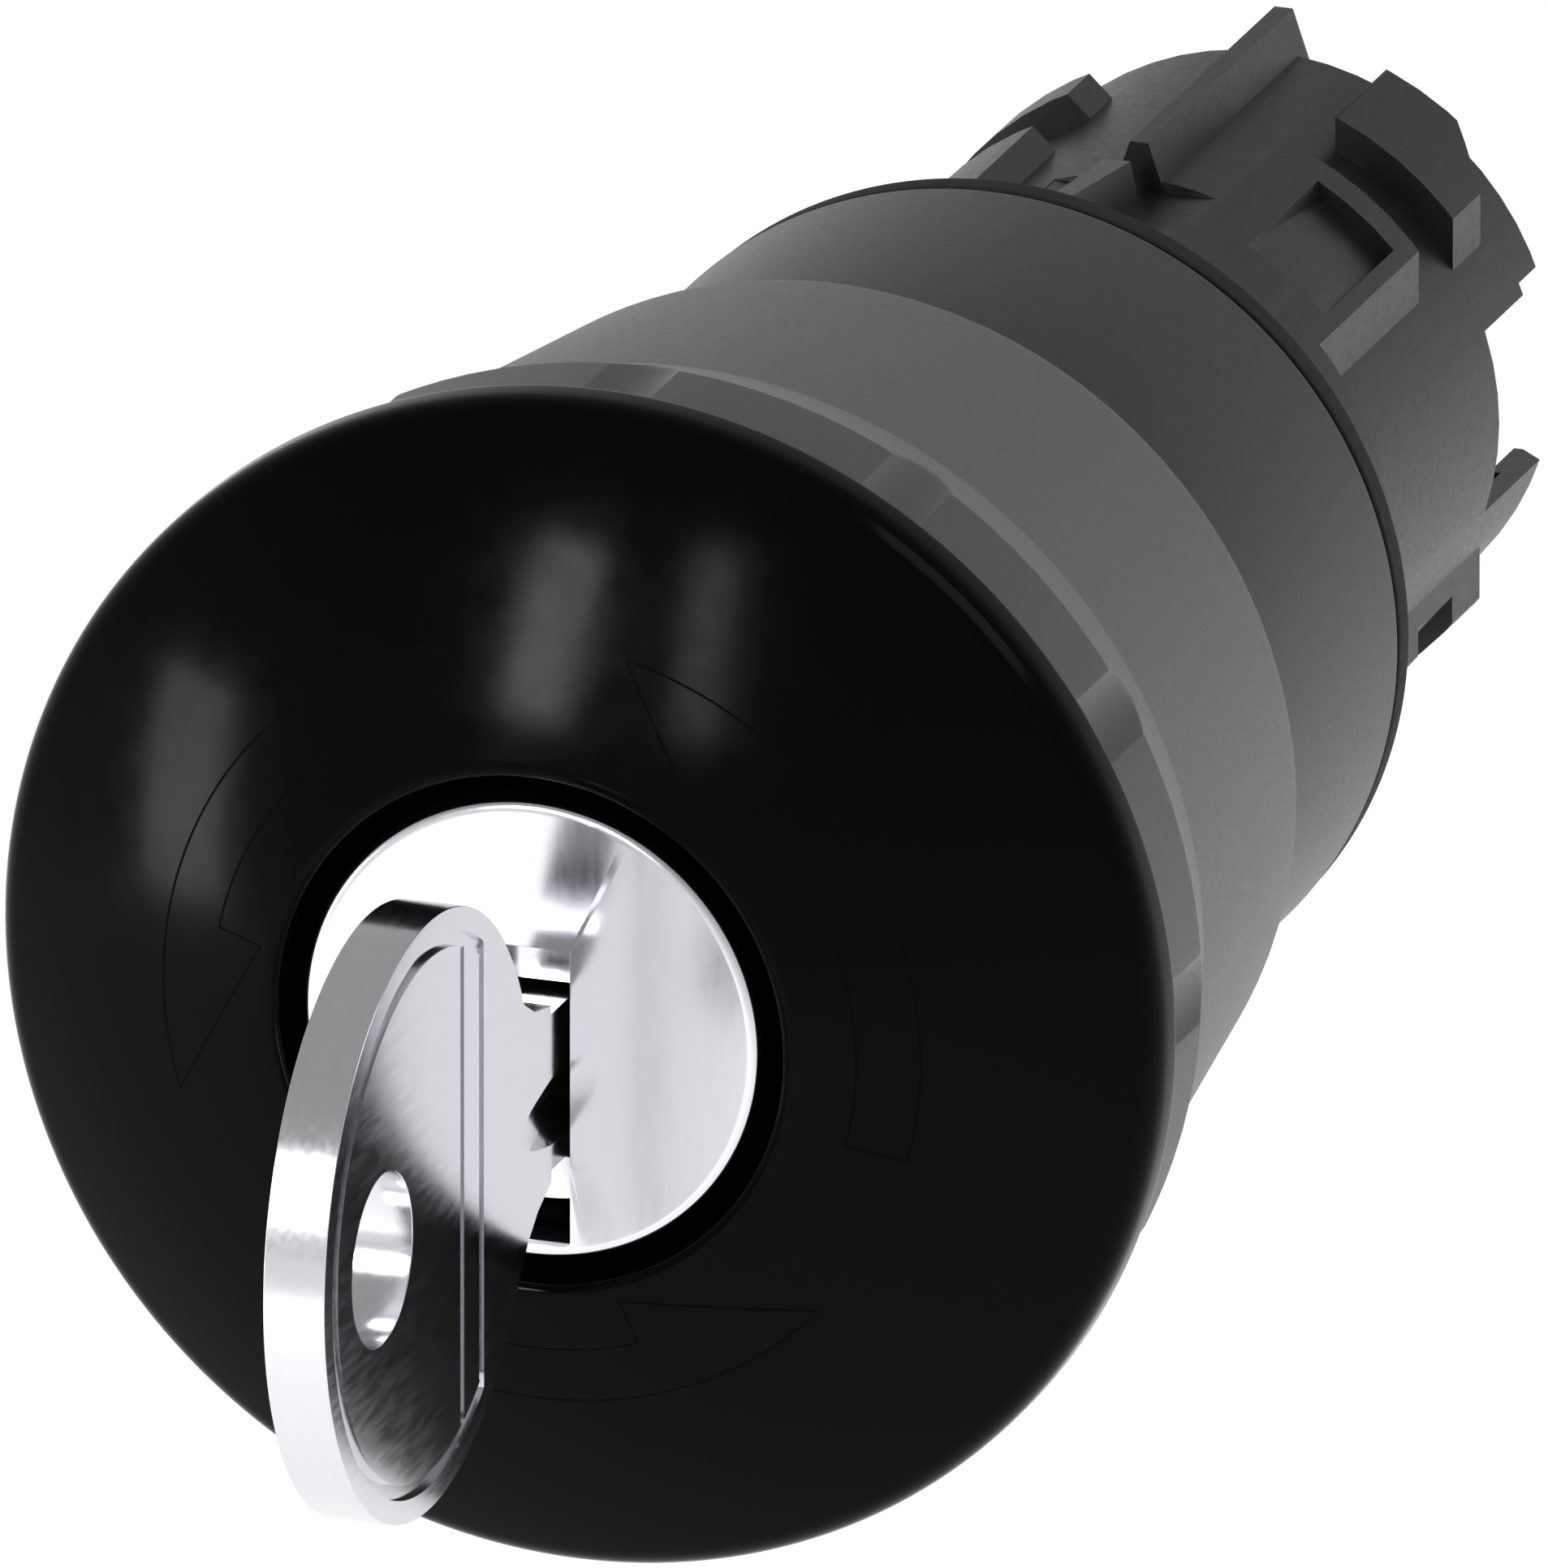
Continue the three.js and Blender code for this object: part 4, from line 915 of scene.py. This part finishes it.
# ---------------------------------------------------------------- stage
VIEW_AZIMUTH, VIEW_ELEVATION = 19.51, 19.42
CAMERA_DISTANCE = 4
CAMERA_CLIP = 40
LENS = 2796.5
BOARD_HALF = 6000
AIM_POINT = (-7.911, 0, -7.739)


def direction(azimuth, elevation):
    """Unit vector from the button towards a place, azimuth 0 in front of the head."""
    a, e = math.radians(azimuth), math.radians(elevation)
    return Vector((math.sin(a) * math.cos(e), -math.cos(a) * math.cos(e), math.sin(e)))


def aim(thing, place, target):
    """Puts a lamp or camera at a place, facing a target."""
    thing.location = place
    thing.rotation_euler = (target - place).to_track_quat("-Z", "Y").to_euler()


def soft_box(name, azimuth, elevation, distance, width, height, radiance):
    """Rectangular lamp whose brightness doesn't depend on its size."""
    lamp = bpy.data.lights.new(name, "AREA")
    lamp.shape = "RECTANGLE"
    lamp.size, lamp.size_y = width, height
    lamp.energy = radiance * width * height * math.pi
    made = bpy.data.objects.new(name, lamp)
    bpy.context.scene.collection.objects.link(made)
    head = Vector((0, CAP_LOW.y * MM, 0))
    aim(made, head + direction(azimuth, elevation) * distance, head)
    made.visible_camera = False


def studio_floor(settings, colours):
    """Large matt white board, a little luminous so that it stays white to its edge."""
    half, z = BOARD_HALF, -settings.floor_drop / MM
    board = piece("studio_floor", ([(-half, -half, z), (half, -half, z), (half, half, z),
                                    (-half, half, z)], [[0, 1, 2, 3]]))
    material, tree = start_material("matt_white_board")
    grain = pattern(tree, 2, detail=2)
    surface(tree, colours.floor, tone=(grain, 0.995, 1.0), gloss=(grain, 0.85, 0.9),
            bumps=(grain, 0.01), Emission_Color=(1, 1, 1, 1), Emission_Strength=0.5)
    board.data.materials.append(material)


def studio_room(strength):
    """Room light: bright near the horizon, greyer overhead."""
    world = bpy.data.worlds.new("studio_room")
    world.use_nodes = True
    tree = world.node_tree
    tree.nodes.clear()
    where = add_node(tree, "ShaderNodeTexCoord")
    split = add_node(tree, "ShaderNodeSeparateXYZ", {"Vector": where.outputs["Generated"]})
    height = add_node(tree, "ShaderNodeMapRange", {
        "Value": split.outputs["Z"], "From Min": -0.1, "From Max": 0.6, "To Min": 1.0, "To Max": 0.45})
    dim = add_node(tree, "ShaderNodeMath", {0: height.outputs["Result"], 1: strength},
                   operation="MULTIPLY")
    glow = add_node(tree, "ShaderNodeBackground", {
        "Color": (1, 1, 1, 1), "Strength": dim.outputs["Value"]})
    add_node(tree, "ShaderNodeOutputWorld", {"Surface": glow.outputs["Background"]})
    bpy.context.scene.world = world


class PUSHBUTTON_OT_stage(bpy.types.Operator):
    """Sets the white floor, the soft lights and the camera"""

    bl_idname = "pushbutton.stage"
    bl_label = "Studio"

    def execute(self, context):
        scene = context.scene
        settings = scene.button_studio
        studio_floor(settings, scene.button_colours)
        studio_room(settings.fill)
        strip = settings.key_light
        # azimuth and elevation in degrees, then distance, width and height in metres, then radiance
        soft_box("strip_front_left", -19, 22.5, 0.6, 0.075, 0.19, strip)
        soft_box("strip_front", -1, 24, 0.6, 0.05, 0.21, strip * 0.45)
        soft_box("tall_left", -58, -8, 0.7, 0.12, 0.36, strip * 0.5)
        soft_box("top_right", 95, 50, 1.0, 0.5, 0.5, 2.2)
        camera = bpy.data.objects.new("camera", bpy.data.cameras.new("camera"))
        scene.collection.objects.link(camera)
        camera.data.lens = LENS
        camera.data.sensor_width = 36
        camera.data.sensor_fit = "AUTO"
        camera.data.clip_end = CAMERA_CLIP
        target = Vector(AIM_POINT) * MM
        aim(camera, target + direction(VIEW_AZIMUTH, VIEW_ELEVATION) * CAMERA_DISTANCE, target)
        scene.camera = camera
        scene.view_settings.view_transform = "Standard"
        return {"FINISHED"}


# ---------------------------------------------------------------- add-on
STEPS = ("cap", "grip", "lock", "key", "collar", "barrel", "spring", "inner", "stage")


class PUSHBUTTON_PT_panel(bpy.types.Panel):
    """Lists the sizes, colours and steps of the pushbutton"""

    bl_label = "Pushbutton"
    bl_idname = "PUSHBUTTON_PT_panel"
    bl_space_type = "VIEW_3D"
    bl_region_type = "UI"
    bl_category = "Pushbutton"

    def draw(self, context):
        scene = context.scene
        for group in (scene.button_sizes, scene.button_colours, scene.button_studio):
            box = self.layout.box()
            for name in group.__annotations__:
                box.prop(group, name)
        for step in STEPS:
            self.layout.operator(f"pushbutton.{step}")


CLASSES = (
    ButtonSizes, ButtonColours, StudioSettings, PUSHBUTTON_OT_cap, PUSHBUTTON_OT_grip,
    PUSHBUTTON_OT_lock, PUSHBUTTON_OT_key, PUSHBUTTON_OT_collar, PUSHBUTTON_OT_barrel,
    PUSHBUTTON_OT_spring, PUSHBUTTON_OT_inner, PUSHBUTTON_OT_stage, PUSHBUTTON_PT_panel,
)


def register():
    for cls in CLASSES:
        bpy.utils.register_class(cls)
    bpy.types.Scene.button_sizes = bpy.props.PointerProperty(type=ButtonSizes)
    bpy.types.Scene.button_colours = bpy.props.PointerProperty(type=ButtonColours)
    bpy.types.Scene.button_studio = bpy.props.PointerProperty(type=StudioSettings)


def unregister():
    del bpy.types.Scene.button_studio
    del bpy.types.Scene.button_colours
    del bpy.types.Scene.button_sizes
    for cls in reversed(CLASSES):
        bpy.utils.unregister_class(cls)


def main():
    register()
    for step in STEPS:
        getattr(bpy.ops.pushbutton, step)()


if __name__ == "__main__":
    main()
